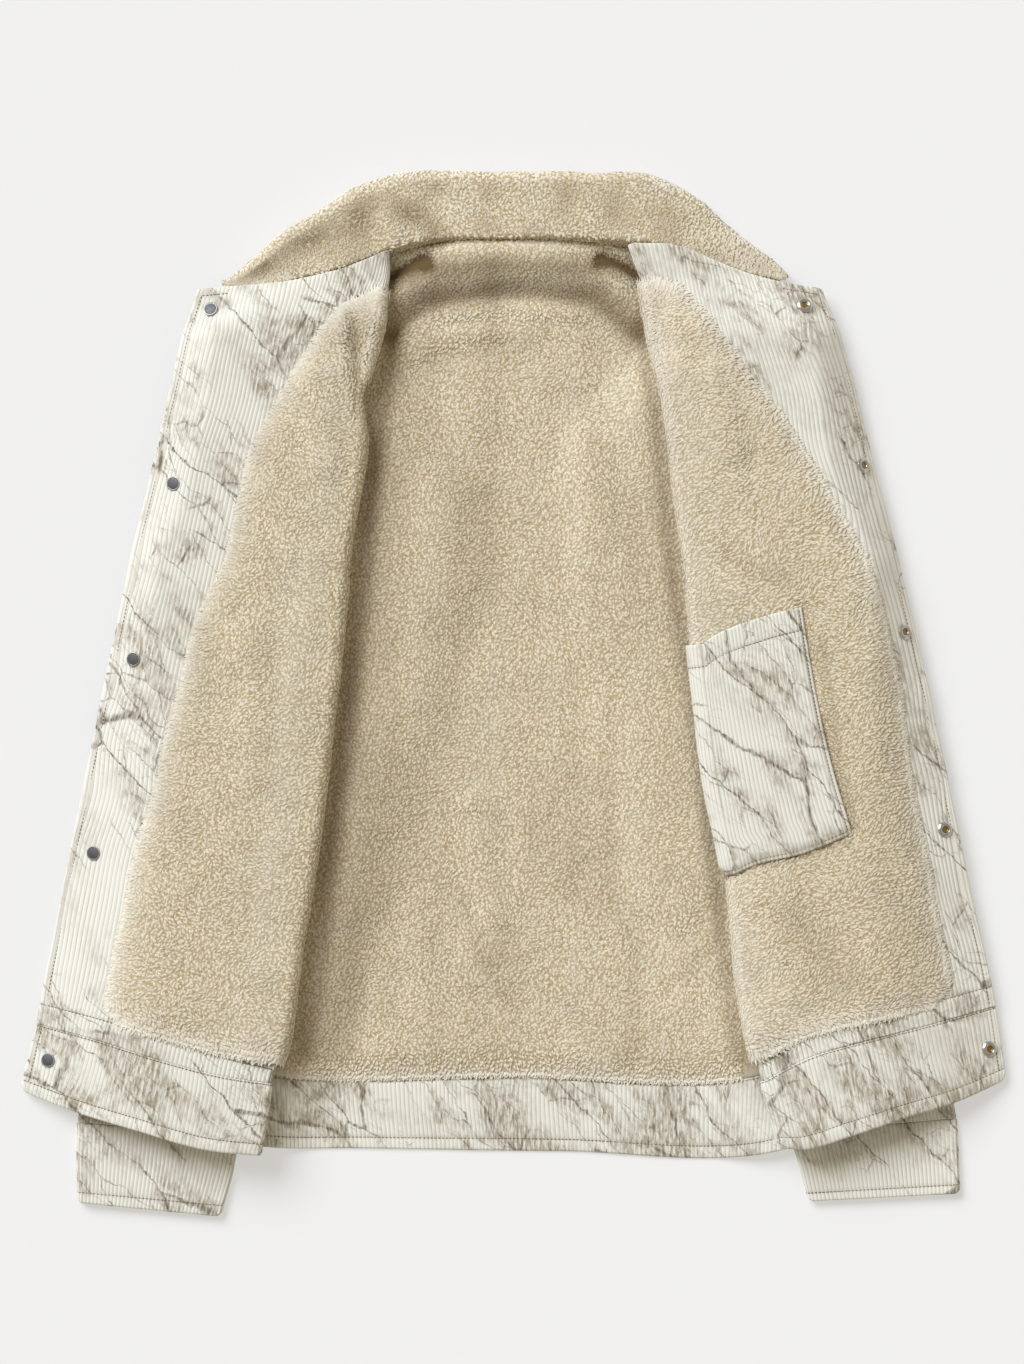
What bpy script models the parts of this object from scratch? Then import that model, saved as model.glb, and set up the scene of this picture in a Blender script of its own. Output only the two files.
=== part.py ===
"""Sherpa lined corduroy jacket, laid open on its back with both fronts turned back outward.

The frame stands on the surface the jacket lies on: +Z is up, +Y points to the collar and +X
to the right as seen from above, with the origin at the middle of the footprint. Left and
right are as seen from above. Tables are in millimetres, and MM turns them into metres.
"""
import math

import bmesh
import bpy
import numpy as np
from mathutils import Vector

MM = 0.001

# ---- cloth -------------------------------------------------------------------------------
CORDUROY = 1.6           # one layer of eight-wale corduroy
SHERPA = 6.5             # pile standing on its knitted backing
BAND = 3.0               # hem band: two layers with their turnings
POCKET_CLOTH = 1.5
SEAM_GAP = 0.3           # between pieces that are sewn or lie face to face
PILE_GAP = 0.8           # round the sherpa's cut edges, whose pile leans out
FOLD_RADIUS = 1.0        # half the space inside a turned-back front
TURNED_RISE = 1.6        # the turned-back part stands this much higher, clear of the fold
TURNED_RISE_RUN = 0.15   # and gets there over this share of its width
LAYER_CLEAR = 2.6        # between the back lining and the front that lies on it

SHELL_LIFT = FOLD_RADIUS                               # from a front's middle surface
LINING_LIFT = SHELL_LIFT + CORDUROY + SEAM_GAP
FACING_LIFT = LINING_LIFT + SEAM_GAP
POCKET_LIFT = LINING_LIFT + SHERPA + 1.5 * PILE_GAP
BACK_LINING_LIFT = CORDUROY + 0.5                 # from the back's underside
FRONT_MIDDLE = BACK_LINING_LIFT + SHERPA + LAYER_CLEAR + LINING_LIFT + SHERPA

# ---- sleeves and cuffs -------------------------------------------------------------------
SLEEVE_HEIGHT = 8.0
SLEEVE_WALL = 2.6
CUFF_HEIGHT = 7.6
CUFF_WALL = 2.6
SLEEVE_CLEAR = 1.4       # between a sleeve and the back over it
DRAPE_MARGIN = 12.0      # the back stays level this far past a sleeve's edge
DRAPE_RUN = 54.0         # and comes down to the surface over this distance

# columns: outer x, outer y, inner x, inner y of a flattened sleeve, from its head to the cuff
SLEEVES = {
    "left": [
        (-230, 246, -156, 256),
        (-247, 200, -108, 210),
        (-260, 150, -76, 158),
        (-272, 80, -80, 84),
        (-290, -30, -110, -36),
        (-307, -150, -148, -156),
        (-321, -255, -184, -264),
        (-328, -321.5, -205, -331),
    ],
    "right": [
        (230, 246, 156, 256),
        (247, 200, 108, 210),
        (260, 150, 76, 158),
        (272, 80, 80, 84),
        (290, -30, 110, -36),
        (307, -150, 148, -156),
        (323, -255, 184, -264),
        (334, -318.5, 207, -329),
    ],
}
CUFFS = {
    "left": [
        (-328.5, -322, -205, -331.5),
        (-328.7, -352, -210.5, -362),
        (-328.3, -382.5, -219.5, -393),
    ],
    "right": [
        (334.5, -319, 207, -329.5),
        (336, -350, 216, -358),
        (337, -375.5, 221.5, -381.5),
    ],
}

# ---- the body's cut, in plan --------------------------------------------------------------
# columns: x, y
NECK_AND_SHOULDERS = [
    (-222, 272), (-160, 302), (-96, 330), (-60, 338), (-9, 339.8), (50, 339.8), (86, 336.5),
    (98, 330), (160, 302), (222, 272),
]
BACK_LEFT_SIDE = [
    (-222, 272), (-227, 215), (-240, 150), (-264, 100), (-266, 0), (-265, -130), (-263, -266),
]
BACK_RIGHT_SIDE = [
    (222, 272), (227, 215), (240, 150), (264, 100), (266, 0), (265, -130), (263, -262),
]
BACK_HEM_SEAM = [
    (-263, -266), (-225, -279), (-177, -286.8), (0, -287.5), (185, -286.8), (228, -275),
    (263, -262),
]
BACK_HEM = [
    (-260, -322), (-225, -333), (-188, -340), (-113, -341.6), (35, -343.8), (198, -343.6),
    (232, -334), (260, -320),
]

# where the layers under a turned-back front end: from the neck over the shoulder to the hem.
# columns: distance from the middle, y
BODY_EDGE = [(97, 334), (222, 272), (227, 215), (240, 150), (265, 100), (266, 0), (263, -266)]

# columns: x, y of each turned-back front's edges. fold is the middle of the fold's roll.
FRONTS = {
    "left": {
        "side": -1,
        "fold": [
            (-97, 332.5), (-97.5, 314), (-102, 292), (-107.5, 266), (-114, 237), (-118, 207),
            (-117.5, 186), (-121, 160), (-129, 115), (-134, 60), (-138, 18),
            (-147, -60), (-155, -124), (-168, -207), (-174, -254), (-183.5, -291),
        ],
        "placket": [
            (-236.2, 304), (-252.8, 239.5), (-274.5, 146), (-323.3, -79), (-357.6, -247.5),
        ],
        "neck": [(-97, 332.5), (-126, 320.3), (-159, 310.6), (-211, 305.3), (-236.2, 304)],
        "seam": [
            (-183.5, -291), (-217, -285.8), (-261, -274.6), (-310, -259.6), (-357.6, -247.5),
        ],
        "shoulder": [(-97, 332.5), (-150, 299), (-206, 262)],
        "side seam": [(-206, 262), (-218, 208), (-236, 150), (-263, 98), (-266, 0), (-263, -265.5)],
        "under seam": [(-183.5, -291), (-225, -279), (-263, -265.5)],
        "lining edge": [
            (-93, 307), (-122, 298), (-145, 270), (-166, 236), (-181, 210), (-196, 181),
            (-202, 153), (-213, 101), (-226, 78), (-239, 47), (-248, 1), (-260, -37), (-266, -75),
            (-279, -114), (-304, -234), (-309, -262),
        ],
        "band fold": [(-183.5, -291.3), (-192, -345.5)],
        "band placket": [(-357.7, -247.8), (-370.3, -298)],
        "hem": [(-192, -345.5), (-229.5, -341.5), (-280, -327.5), (-329, -313.3), (-370.3, -298)],
        "under hem": [(-192, -345.5), (-225, -332), (-260, -321.5)],
        "under side": [(-263, -265.8), (-260, -321.5)],
        "lining foot": 0.984,
        "lining foot slope": 0.018,
    },
    "right": {
        "side": 1,
        "fold": [
            (91, 339), (97, 322), (102, 305), (105, 290), (111, 253), (120, 219), (122, 205),
            (128, 153), (136, 101), (142, 27), (147, -13), (153, -62), (168, -140), (175, -214),
            (180, -245), (188.5, -289),
        ],
        "placket": [
            (231, 304.8), (246, 258.4), (275.3, 146), (312, -4), (344.3, -154), (362.4, -234.2),
        ],
        "neck": [
            (91, 339), (121.5, 337.2), (145.5, 328.2), (172.5, 316.4), (204, 308.4), (231, 304.8),
        ],
        "seam": [(188.5, -289), (222, -271.6), (263, -259.6), (315, -246.8), (362.4, -234.2)],
        "shoulder": [(91, 339), (148, 300), (206, 262)],
        "side seam": [(206, 262), (218, 208), (236, 150), (263, 98), (266, 0), (263, -261.5)],
        "under seam": [(188.5, -289), (228, -275), (263, -261.5)],
        "lining edge": [
            (96, 316), (111, 311.5), (126, 303), (145, 281), (163, 258), (179, 236), (202, 206),
            (233, 155), (263, 101), (273, 60), (286, 3), (291, -37), (297, -78), (308, -127),
            (311, -147), (318, -184), (328, -224), (318, -240),
        ],
        "band fold": [(188.5, -289.3), (193, -306), (202.5, -340)],
        "band placket": [(362.5, -234.5), (370.5, -290)],
        "hem": [(202.5, -340), (217, -341), (253, -331), (291, -318.4), (334, -305.6), (370.5, -290)],
        "under hem": [(202.5, -340), (232, -332), (260, -319.5)],
        "under side": [(263, -261.8), (260, -319.5)],
        "lining foot": 0.984,
        "lining foot slope": 0.02,
    },
}
# columns: share of the front's length from the neck, height of the placket's edge
PLACKET_EDGE_HEIGHT = {
    "left": [(0.0, 11), (0.15, 15), (0.35, 17), (0.6, 12), (0.8, 7), (1.0, 4.5)],
    "right": [(0.0, 9), (0.15, 6), (0.35, 6), (0.6, 7), (0.8, 7), (1.0, 4)],
}
BAND_EDGE_HEIGHT = {
    "left": [(0.0, 4.5), (1.0, 3.5)],
    "right": [(0.0, 4), (1.0, 3.2)],
}
DROOP_POWER = 1.35       # above 1 the front bends over the body's edge before it falls
DROOP_START = 1.0        # how far past the body's edge it starts to fall

# ---- the roll at the back of the neck -------------------------------------------------------
NECK_ROLL_Y = 333.0
NECK_ROLL_HEIGHT = 13.5
NECK_ROLL_HALF = 91.0    # half its length across
NECK_ROLL_SWEEP = 34.0   # how far its ends come down from its middle
NECK_ROLL_FALL = 38.0    # length of its slope to the back
NECK_ROLL_RISE = 12.0    # length of its slope to the neck seam
NECK_ROLL_END_RUN = 40.0 # how far past its ends it dies away
NECK_ROLL_END_SHARE = 0.5                # its height there, as a share of the middle's
NECK_ROLL_BACK_DROP = (0.2, 0.6)         # share it loses behind: at its middle, more at its ends

# ---- soft folds: ridges in the cloth ---------------------------------------------------------
# columns: x and y of one end, x and y of the other, height, half width
BACK_FOLDS = [
    (-27, -85, -20, -190, 3.0, 22),
    (-15, -172, 80, -262, 3.0, 22),
    (-72, 262, 12, 276, 2.5, 20),
    (62, 190, 68, 120, 2.5, 20),
]
FRONT_FOLDS = {
    "left": [(-150, 236, -142, 172, 2.5, 20), (-200, 40, -190, -60, 2.5, 24)],
    "right": [(150, 236, 166, 186, 2.5, 20), (196, -150, 214, -220, 2.5, 24)],
}

# ---- collar --------------------------------------------------------------------------------
COLLAR_SHERPA = 6.5
# columns: neck seam x, y, roll x, y, height of the seam end, height of the roll, fullness
COLLAR = [
    (-209, 306.7, -221, 308.8, 13.0, 10.5, 0.5),
    (-196, 307.0, -211, 315, 13.5, 10.2, 0.6),
    (-176, 308.9, -196, 327, 14.0, 9.8, 0.78),
    (-157, 313.5, -177, 345, 14.0, 9.7, 0.92),
    (-126, 321.6, -150, 362, 13.5, 9.7, 1.0),
    (-94, 334.2, -121, 380.4, 13.0, 9.7, 1.0),
    (-60, 342.5, -82, 392.2, 12.5, 9.7, 1.0),
    (-9, 343.5, -13, 393.2, 12.5, 9.7, 1.0),
    (50, 343.6, 58, 392.8, 12.5, 9.7, 1.0),
    (89, 340.5, 104, 391, 13.0, 9.7, 1.0),
    (122, 336.4, 138, 373.4, 13.5, 9.7, 0.95),
    (146, 327.4, 158, 355.6, 14.0, 9.8, 0.82),
    (172, 318.3, 180, 337.4, 14.0, 9.9, 0.66),
    (190, 314, 198, 325, 13.0, 10.2, 0.56),
    (202, 312, 209.5, 315.5, 12.0, 10.5, 0.5),
]

# ---- inner pocket, on the right front's lining -----------------------------------------------
# columns: x, y
POCKET_TOP = [(134, 31), (151, 44), (184, 57.5), (216, 65.6)]
POCKET_FOOT = [(159, -139), (179, -128.6), (217, -119), (254, -104)]
POCKET_OUTER = [(216, 65.6), (227, 0), (238.5, -52), (254, -104)]
POCKET_COLUMNS = 8
POCKET_ROWS = 8
POCKET_WRAP_COLUMNS = 4  # round the fold's roll, on the same lines as the lining's columns

# ---- snaps -------------------------------------------------------------------------------
# columns: radius, height. The ring's profile starts and ends at its hole.
SNAP_STUD = [(0, 0), (5.4, 0), (5.4, 0.9), (4.3, 1.6), (0, 1.9)]
SNAP_RING = [(2.6, 0), (6.0, 0), (6.0, 0.7), (4.4, 1.8), (2.6, 1.3)]
SNAP_OUTER = [(0, 0), (6.5, 0), (6.5, 0.8), (0, 2.0)]
SNAP_SEAT = 6.5          # each half stands clear of the cloth within this radius
# columns: x, y
SNAPS = {
    "left": [(-226.5, 289), (-254, 158), (-284, 26.5), (-314.5, -119), (-349, -274.8)],
    "right": [(218.5, 292), (262.5, 172), (293.5, 47), (324, -101.5), (358, -266.5)],
}

# ---- how finely each piece is drawn ------------------------------------------------------------
UNDER_COLUMNS = 6        # from the side seam to the fold
ARC_COLUMNS = 6          # round the fold
LINING_COLUMNS = 8       # from the fold to the lining's edge
FACING_COLUMNS = 4       # from there to the placket, one of them over the body's edge
# rows, as shares of a front's length: closer at the neck
FRONT_ROWS = [0.0, 0.045, 0.09, 0.14, 0.2, 0.27, 0.34, 0.41, 0.48, 0.56, 0.64, 0.72, 0.8, 0.87,
              0.93, 0.975, 1.0]
LINING_FIRST_ROW = 1     # the facing fills the row above it
LINING_LAST_ROW = len(FRONT_ROWS) - 2
BACK_COLUMNS = 24
BACK_ROWS = [0.0, 0.012, 0.026, 0.042, 0.06, 0.08, 0.12, 0.18, 0.25, 0.33, 0.42, 0.52, 0.62, 0.72,
             0.82, 0.91, 0.985, 1.0]
BACK_LINING_LAST_ROW = len(BACK_ROWS) - 2
COLLAR_COLUMNS = 24
COLLAR_TOP_ROWS = 4
COLLAR_UNDER_ROWS = 3
TUBE_END_STEPS = 4       # round each edge of a flattened sleeve
TUBE_FLAT_STEPS = 5      # across each of its flat sides
SNAP_STEPS = 12

# the gap round the lining's cut edges, as shares of a front's width and length
SIDE_TRIM = PILE_GAP / 160
FOOT_TRIM = PILE_GAP / 600
BAND_TRIM = SEAM_GAP / 55

# name: base colour, roughness, metallic
MATERIALS = {
    "corduroy": ((0.80, 0.79, 0.71), 0.92, 0.0),
    "sherpa": ((0.68, 0.57, 0.40), 0.97, 0.0),
    "pewter": ((0.30, 0.31, 0.33), 0.30, 1.0),
    "silver": ((0.72, 0.71, 0.68), 0.28, 1.0),
}


def curve(points):
    """A smooth curve through points, read from 0 to 1 by its length."""
    through = np.array(points, float)
    steps = np.linalg.norm(np.diff(through[:, :2], axis=0), axis=1)
    knots = np.concatenate([[0.0], np.cumsum(steps)]) / steps.sum()
    slopes = np.gradient(through, knots, axis=0)

    def at(share):
        share = min(max(share, 0.0), 1.0)
        k = min(int(np.searchsorted(knots, share, side="right")) - 1, len(knots) - 2)
        span = knots[k + 1] - knots[k]
        s = (share - knots[k]) / span
        return (
            (1 + 2 * s) * (1 - s) ** 2 * through[k]
            + s * (1 - s) ** 2 * span * slopes[k]
            + s * s * (3 - 2 * s) * through[k + 1]
            + s * s * (s - 1) * span * slopes[k + 1]
        )

    return at


def patch(near, far, top, foot):
    """A surface in plan, filled between four edge curves: u runs near to far, v top to foot."""
    def at(u, v):
        across = near(v) * (1 - u) + far(v) * u
        down = top(u) * (1 - v) + foot(u) * v
        corners = (
            near(0) * (1 - u) * (1 - v) + far(0) * u * (1 - v)
            + near(1) * (1 - u) * v + far(1) * u * v
        )
        return across + down - corners

    return at


def ease(share):
    """0 to 1 with level ends."""
    share = min(max(share, 0.0), 1.0)
    return share * share * (3 - 2 * share)


def listed(rows, key):
    """A value read from a two-column table."""
    return float(np.interp(key, [row[0] for row in rows], [row[1] for row in rows]))


def sleeve_edges(side, y):
    """The outer and inner distance of a sleeve's edges from the middle line, at height y."""
    rows = sorted(SLEEVES[side] + CUFFS[side][1:], key=lambda row: row[1])
    outer = np.interp(y, [row[1] for row in rows], [abs(row[0]) for row in rows])
    inner = np.interp(y, [row[3] for row in rows], [abs(row[2]) for row in rows])
    return float(outer), float(inner)


def sleeve_drape(x, y):
    """Height of the cloth that lies over the sleeves."""
    side = "left" if x < 0 else "right"
    outer, inner = sleeve_edges(side, y)
    outside = max(abs(x) - outer, inner - abs(x)) - DRAPE_MARGIN
    above = y - SLEEVES[side][0][3] - DRAPE_MARGIN
    clear = math.hypot(max(outside, 0.0), max(above, 0.0))
    return (SLEEVE_HEIGHT + SLEEVE_CLEAR) * (1 - ease(clear / DRAPE_RUN))


def neck_roll(x, y):
    """The cloth's rise at the back of the neck, over the collar's seam."""
    reach = min(abs(x) / NECK_ROLL_HALF, 1.0)
    middle = NECK_ROLL_Y - NECK_ROLL_SWEEP * reach ** 3
    top = NECK_ROLL_HEIGHT * (1 - (1 - NECK_ROLL_END_SHARE) * reach ** 2)
    top *= 1 - ease((abs(x) - NECK_ROLL_HALF) / NECK_ROLL_END_RUN)
    if y < middle:
        return top * (1 - ease((middle - y) / NECK_ROLL_FALL))
    at_middle, at_ends = NECK_ROLL_BACK_DROP
    return top * (1 - (at_middle + at_ends * reach ** 2) * ease((y - middle) / NECK_ROLL_RISE))


def soft_folds(folds, x, y):
    """The rise that a table of soft folds gives the cloth at a place in plan."""
    rise = 0.0
    for x0, y0, x1, y1, height, half in folds:
        run = (x1 - x0) ** 2 + (y1 - y0) ** 2
        along = ((x - x0) * (x1 - x0) + (y - y0) * (y1 - y0)) / run
        nearest = min(max(along, 0.0), 1.0)
        away = math.hypot(x - x0 - nearest * (x1 - x0), y - y0 - nearest * (y1 - y0))
        rise += height * (1 - ease(away / half))
    return rise


def back_height(x, y):
    """Height of the back's underside."""
    return sleeve_drape(x, y) + neck_roll(x, y) + soft_folds(BACK_FOLDS, x, y)


def lifted(middle, a, b, lift):
    """A point of the surface middle(a, b), moved out along the surface's normal."""
    step = 0.004
    a_low, a_high = a - step, a + step
    b_low, b_high = max(b - step, 0.0), min(b + step, 1.0)
    along_a = middle(a_high, b) - middle(a_low, b)
    along_b = middle(a, b_high) - middle(a, b_low)
    normal = np.cross(along_a, along_b)
    normal /= np.linalg.norm(normal)
    if normal[2] < 0:
        normal = -normal
    return middle(a, b) + normal * lift, normal


def body_reach(y):
    """How far out the layers under a turned-back front reach, at height y."""
    rows = sorted(BODY_EDGE, key=lambda row: row[1])
    return float(np.interp(y, [row[1] for row in rows], [row[0] for row in rows]))


def front_surface(front, placket_heights, edges, folds):
    """A turned-back front or its hem band: point(q, v, lift) on or above its middle surface.

    q is -1 at the side seam, 0 under the fold, 1 on top of it and 2 at the placket, and v is
    0 at the neck end and 1 at the hem end. edges names the seven curves that bound it.
    """
    side = front["side"]
    fold, placket, top, foot, under_side, under_top, under_foot = (
        curve(front[name]) for name in edges
    )
    upper = patch(fold, placket, top, foot)
    under = patch(fold, under_side, under_top, under_foot)

    def turned_height(u, v):
        x, y = upper(u, v)
        start = body_reach(y) + DROOP_START
        rise = TURNED_RISE * ease(u / TURNED_RISE_RUN)
        height = back_height(min(abs(x), start) * side, y) + FRONT_MIDDLE + rise
        height += soft_folds(folds, x, y)
        if abs(x) <= start:
            return height
        past = (abs(x) - start) / max(abs(placket(v)[0]) - start, 1.0)
        edge = listed(placket_heights, v)
        return height + (edge - height) * min(past, 1.0) ** DROOP_POWER

    def upper_middle(u, v):
        return np.array([*upper(u, v), turned_height(max(u, 0.0), v)])

    def under_middle(u, v):
        x, y = under(u, v)
        return np.array([x, y, back_height(x, y) + FRONT_MIDDLE])

    def point(q, v, lift):
        if q > 1:
            return lifted(upper_middle, q - 1, v, lift)
        if q < 0:
            spot, normal = lifted(under_middle, -q, v, lift)
            return 2 * under_middle(-q, v) - spot, -normal
        run = fold(min(v + 0.01, 1)) - fold(max(v - 0.01, 0))
        inward = np.array([-side * abs(run[1]), side * run[0] * np.sign(run[1]), 0.0])
        inward /= np.linalg.norm(inward)
        angle = (q - 0.5) * math.pi
        normal = inward * math.cos(angle) + np.array([0.0, 0.0, math.sin(angle)])
        middle = upper_middle(0, v) * q + under_middle(0, v) * (1 - q)
        return middle + normal * lift, normal

    return point, upper


FRONT_EDGES = ("fold", "placket", "neck", "seam", "side seam", "shoulder", "under seam")
BAND_EDGES = ("band fold", "band placket", "seam", "hem", "under side", "under seam", "under hem")


def find_on(upper, x, y):
    """The shares (u, v) of a turned-back front at a place in plan, by Newton's steps."""
    spot = np.array([0.7, 0.5])
    step = 0.001
    for _ in range(30):
        here = upper(*spot)
        across = (upper(spot[0] + step, spot[1]) - here) / step
        down = (upper(spot[0], spot[1] + step) - here) / step
        spot = spot + np.linalg.solve(np.array([across, down]).T, np.array([x, y]) - here)
        spot = np.clip(spot, 0.001, 0.999)
    return spot


def share_inside(edge, upper, v):
    """How much of a front's width, at a share v of its length, lies inside a line in plan."""
    rows = sorted(edge, key=lambda row: row[1])
    heights = [row[1] for row in rows]
    reaches = [abs(row[0]) for row in rows]
    low, high = 0.0, 1.0
    for _ in range(24):
        middle = (low + high) / 2
        x, y = upper(middle, v)
        if abs(x) < np.interp(y, heights, reaches):
            low = middle
        else:
            high = middle
    return low


def material(name):
    """A Principled material from its row in MATERIALS."""
    if name in bpy.data.materials:
        return bpy.data.materials[name]
    colour, roughness, metallic = MATERIALS[name]
    made = bpy.data.materials.new(name)
    made.use_nodes = True
    shader = made.node_tree.nodes["Principled BSDF"]
    shader.inputs["Base Color"].default_value = (*colour, 1.0)
    shader.inputs["Roughness"].default_value = roughness
    shader.inputs["Metallic"].default_value = metallic
    return made


def finish(name, mesh_data, cloth, location=(0, 0, 0), normal=(0, 0, 1)):
    """Put a bmesh in the scene as one named object."""
    mesh = bpy.data.meshes.new(name)
    mesh_data.to_mesh(mesh)
    mesh_data.free()
    mesh.shade_smooth()
    mesh.set_sharp_from_angle(angle=math.radians(40))
    made = bpy.data.objects.new(name, mesh)
    made.location = Vector(location) * MM
    made.rotation_mode = "QUATERNION"
    made.rotation_quaternion = Vector((0, 0, 1)).rotation_difference(Vector(normal))
    mesh.materials.append(material(cloth))
    bpy.data.collections["jacket"].objects.link(made)
    return made


def sheet(name, columns, rows, place, thickness, cloth, keep=None, flip=False, fullness=None):
    """A panel: a grid whose points place(i, j) gives, with a wall raised on its outer face."""
    grid = bmesh.new()
    bmesh.ops.create_grid(grid, x_segments=columns, y_segments=rows, size=1.0)
    if keep:
        cells = {
            face: (
                int((face.calc_center_median().x + 1) / 2 * columns),
                int((1 - face.calc_center_median().y) / 2 * rows),
            )
            for face in grid.faces
        }
        unwanted = [face for face, cell in cells.items() if not keep(*cell)]
        bmesh.ops.delete(grid, geom=unwanted, context="FACES")
    weights = grid.verts.layers.deform.verify() if fullness else None
    for vert in grid.verts:
        i = round((vert.co.x + 1) / 2 * columns)
        j = round((1 - vert.co.y) / 2 * rows)
        vert.co = Vector(place(i, j)) * MM
        if fullness:
            vert[weights][0] = fullness(i)
    if flip:
        bmesh.ops.reverse_faces(grid, faces=grid.faces)
    made = finish(name, grid, cloth)
    wall = made.modifiers.new("wall", "SOLIDIFY")
    wall.thickness = thickness * MM
    wall.offset = 1.0
    if fullness:
        made.vertex_groups.new(name="fullness")
        wall.vertex_group = "fullness"
    return made


def stadium(half, radius):
    """A flattened tube's ring, as points (across, height): two round edges and two flat sides."""
    points = []
    for sign in (1, -1):
        for k in range(TUBE_END_STEPS + 1):
            angle = math.pi * (k / TUBE_END_STEPS - 0.5)
            points.append((sign * (half + radius * math.cos(angle)),
                           radius + sign * radius * math.sin(angle)))
        for k in range(1, TUBE_FLAT_STEPS):
            points.append((sign * half * (1 - 2 * k / TUBE_FLAT_STEPS), radius * (1 + sign)))
    return points


def flattened_tube(name, stations, height, wall, cloth):
    """A sleeve or cuff: a ring at each station, from its outer point to its inner point."""
    rings = []
    for outer_x, outer_y, inner_x, inner_y in stations:
        ends = sorted([(outer_x, outer_y), (inner_x, inner_y)])
        left, right = np.array(ends[0], float), np.array(ends[1], float)
        width = np.linalg.norm(right - left)
        ring = stadium((width - height) / 2, height / 2)
        rings.append([(*((left + right) / 2 + (right - left) / width * x), z) for x, z in ring])
    around, along = len(rings[0]), len(stations) - 1
    tube = bmesh.new()
    bmesh.ops.create_grid(tube, x_segments=around, y_segments=along, size=1.0)
    for vert in tube.verts:
        i = round((vert.co.x + 1) / 2 * around) % around
        j = round((1 - vert.co.y) / 2 * along)
        vert.co = Vector(rings[j][i]) * MM
    bmesh.ops.remove_doubles(tube, verts=tube.verts, dist=0.01 * MM)
    bmesh.ops.reverse_faces(tube, faces=tube.faces)
    made = finish(name, tube, cloth)
    inside = made.modifiers.new("wall", "SOLIDIFY")
    inside.thickness = wall * MM
    inside.offset = -1.0
    return made


def build_sleeves():
    for side in ("left", "right"):
        flattened_tube(f"sleeve_{side}", SLEEVES[side], SLEEVE_HEIGHT, SLEEVE_WALL, "corduroy")
        flattened_tube(f"cuff_{side}", CUFFS[side], CUFF_HEIGHT, CUFF_WALL, "corduroy")


def build_back():
    """The back shell, its lining and its hem band."""
    left, right = curve(BACK_LEFT_SIDE), curve(BACK_RIGHT_SIDE)
    cut = patch(left, right, curve(NECK_AND_SHOULDERS), curve(BACK_HEM_SEAM))
    band_left = curve([BACK_LEFT_SIDE[-1], BACK_HEM[0]])
    band_right = curve([BACK_RIGHT_SIDE[-1], BACK_HEM[-1]])
    band_cut = patch(band_left, band_right, curve(BACK_HEM_SEAM), curve(BACK_HEM))

    def draped(plan):
        def middle(u, v):
            x, y = plan(u, v)
            return np.array([x, y, back_height(x, y)])
        return middle

    def shell(i, j):
        return draped(cut)(i / BACK_COLUMNS, BACK_ROWS[j])

    def lining(i, j):
        return lifted(draped(cut), i / BACK_COLUMNS, BACK_ROWS[j], BACK_LINING_LIFT)[0]

    def in_lining(i, j):
        return j < BACK_LINING_LAST_ROW

    def band(i, j):
        return draped(band_cut)(i / BACK_COLUMNS, BAND_TRIM + (1 - BAND_TRIM) * j / 2)

    rows = len(BACK_ROWS) - 1
    sheet("back_shell", BACK_COLUMNS, rows, shell, CORDUROY, "corduroy")
    sheet("back_lining", BACK_COLUMNS, rows, lining, SHERPA, "sherpa", in_lining)
    sheet("back_hem_band", BACK_COLUMNS, 2, band, BAND, "corduroy")


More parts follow.
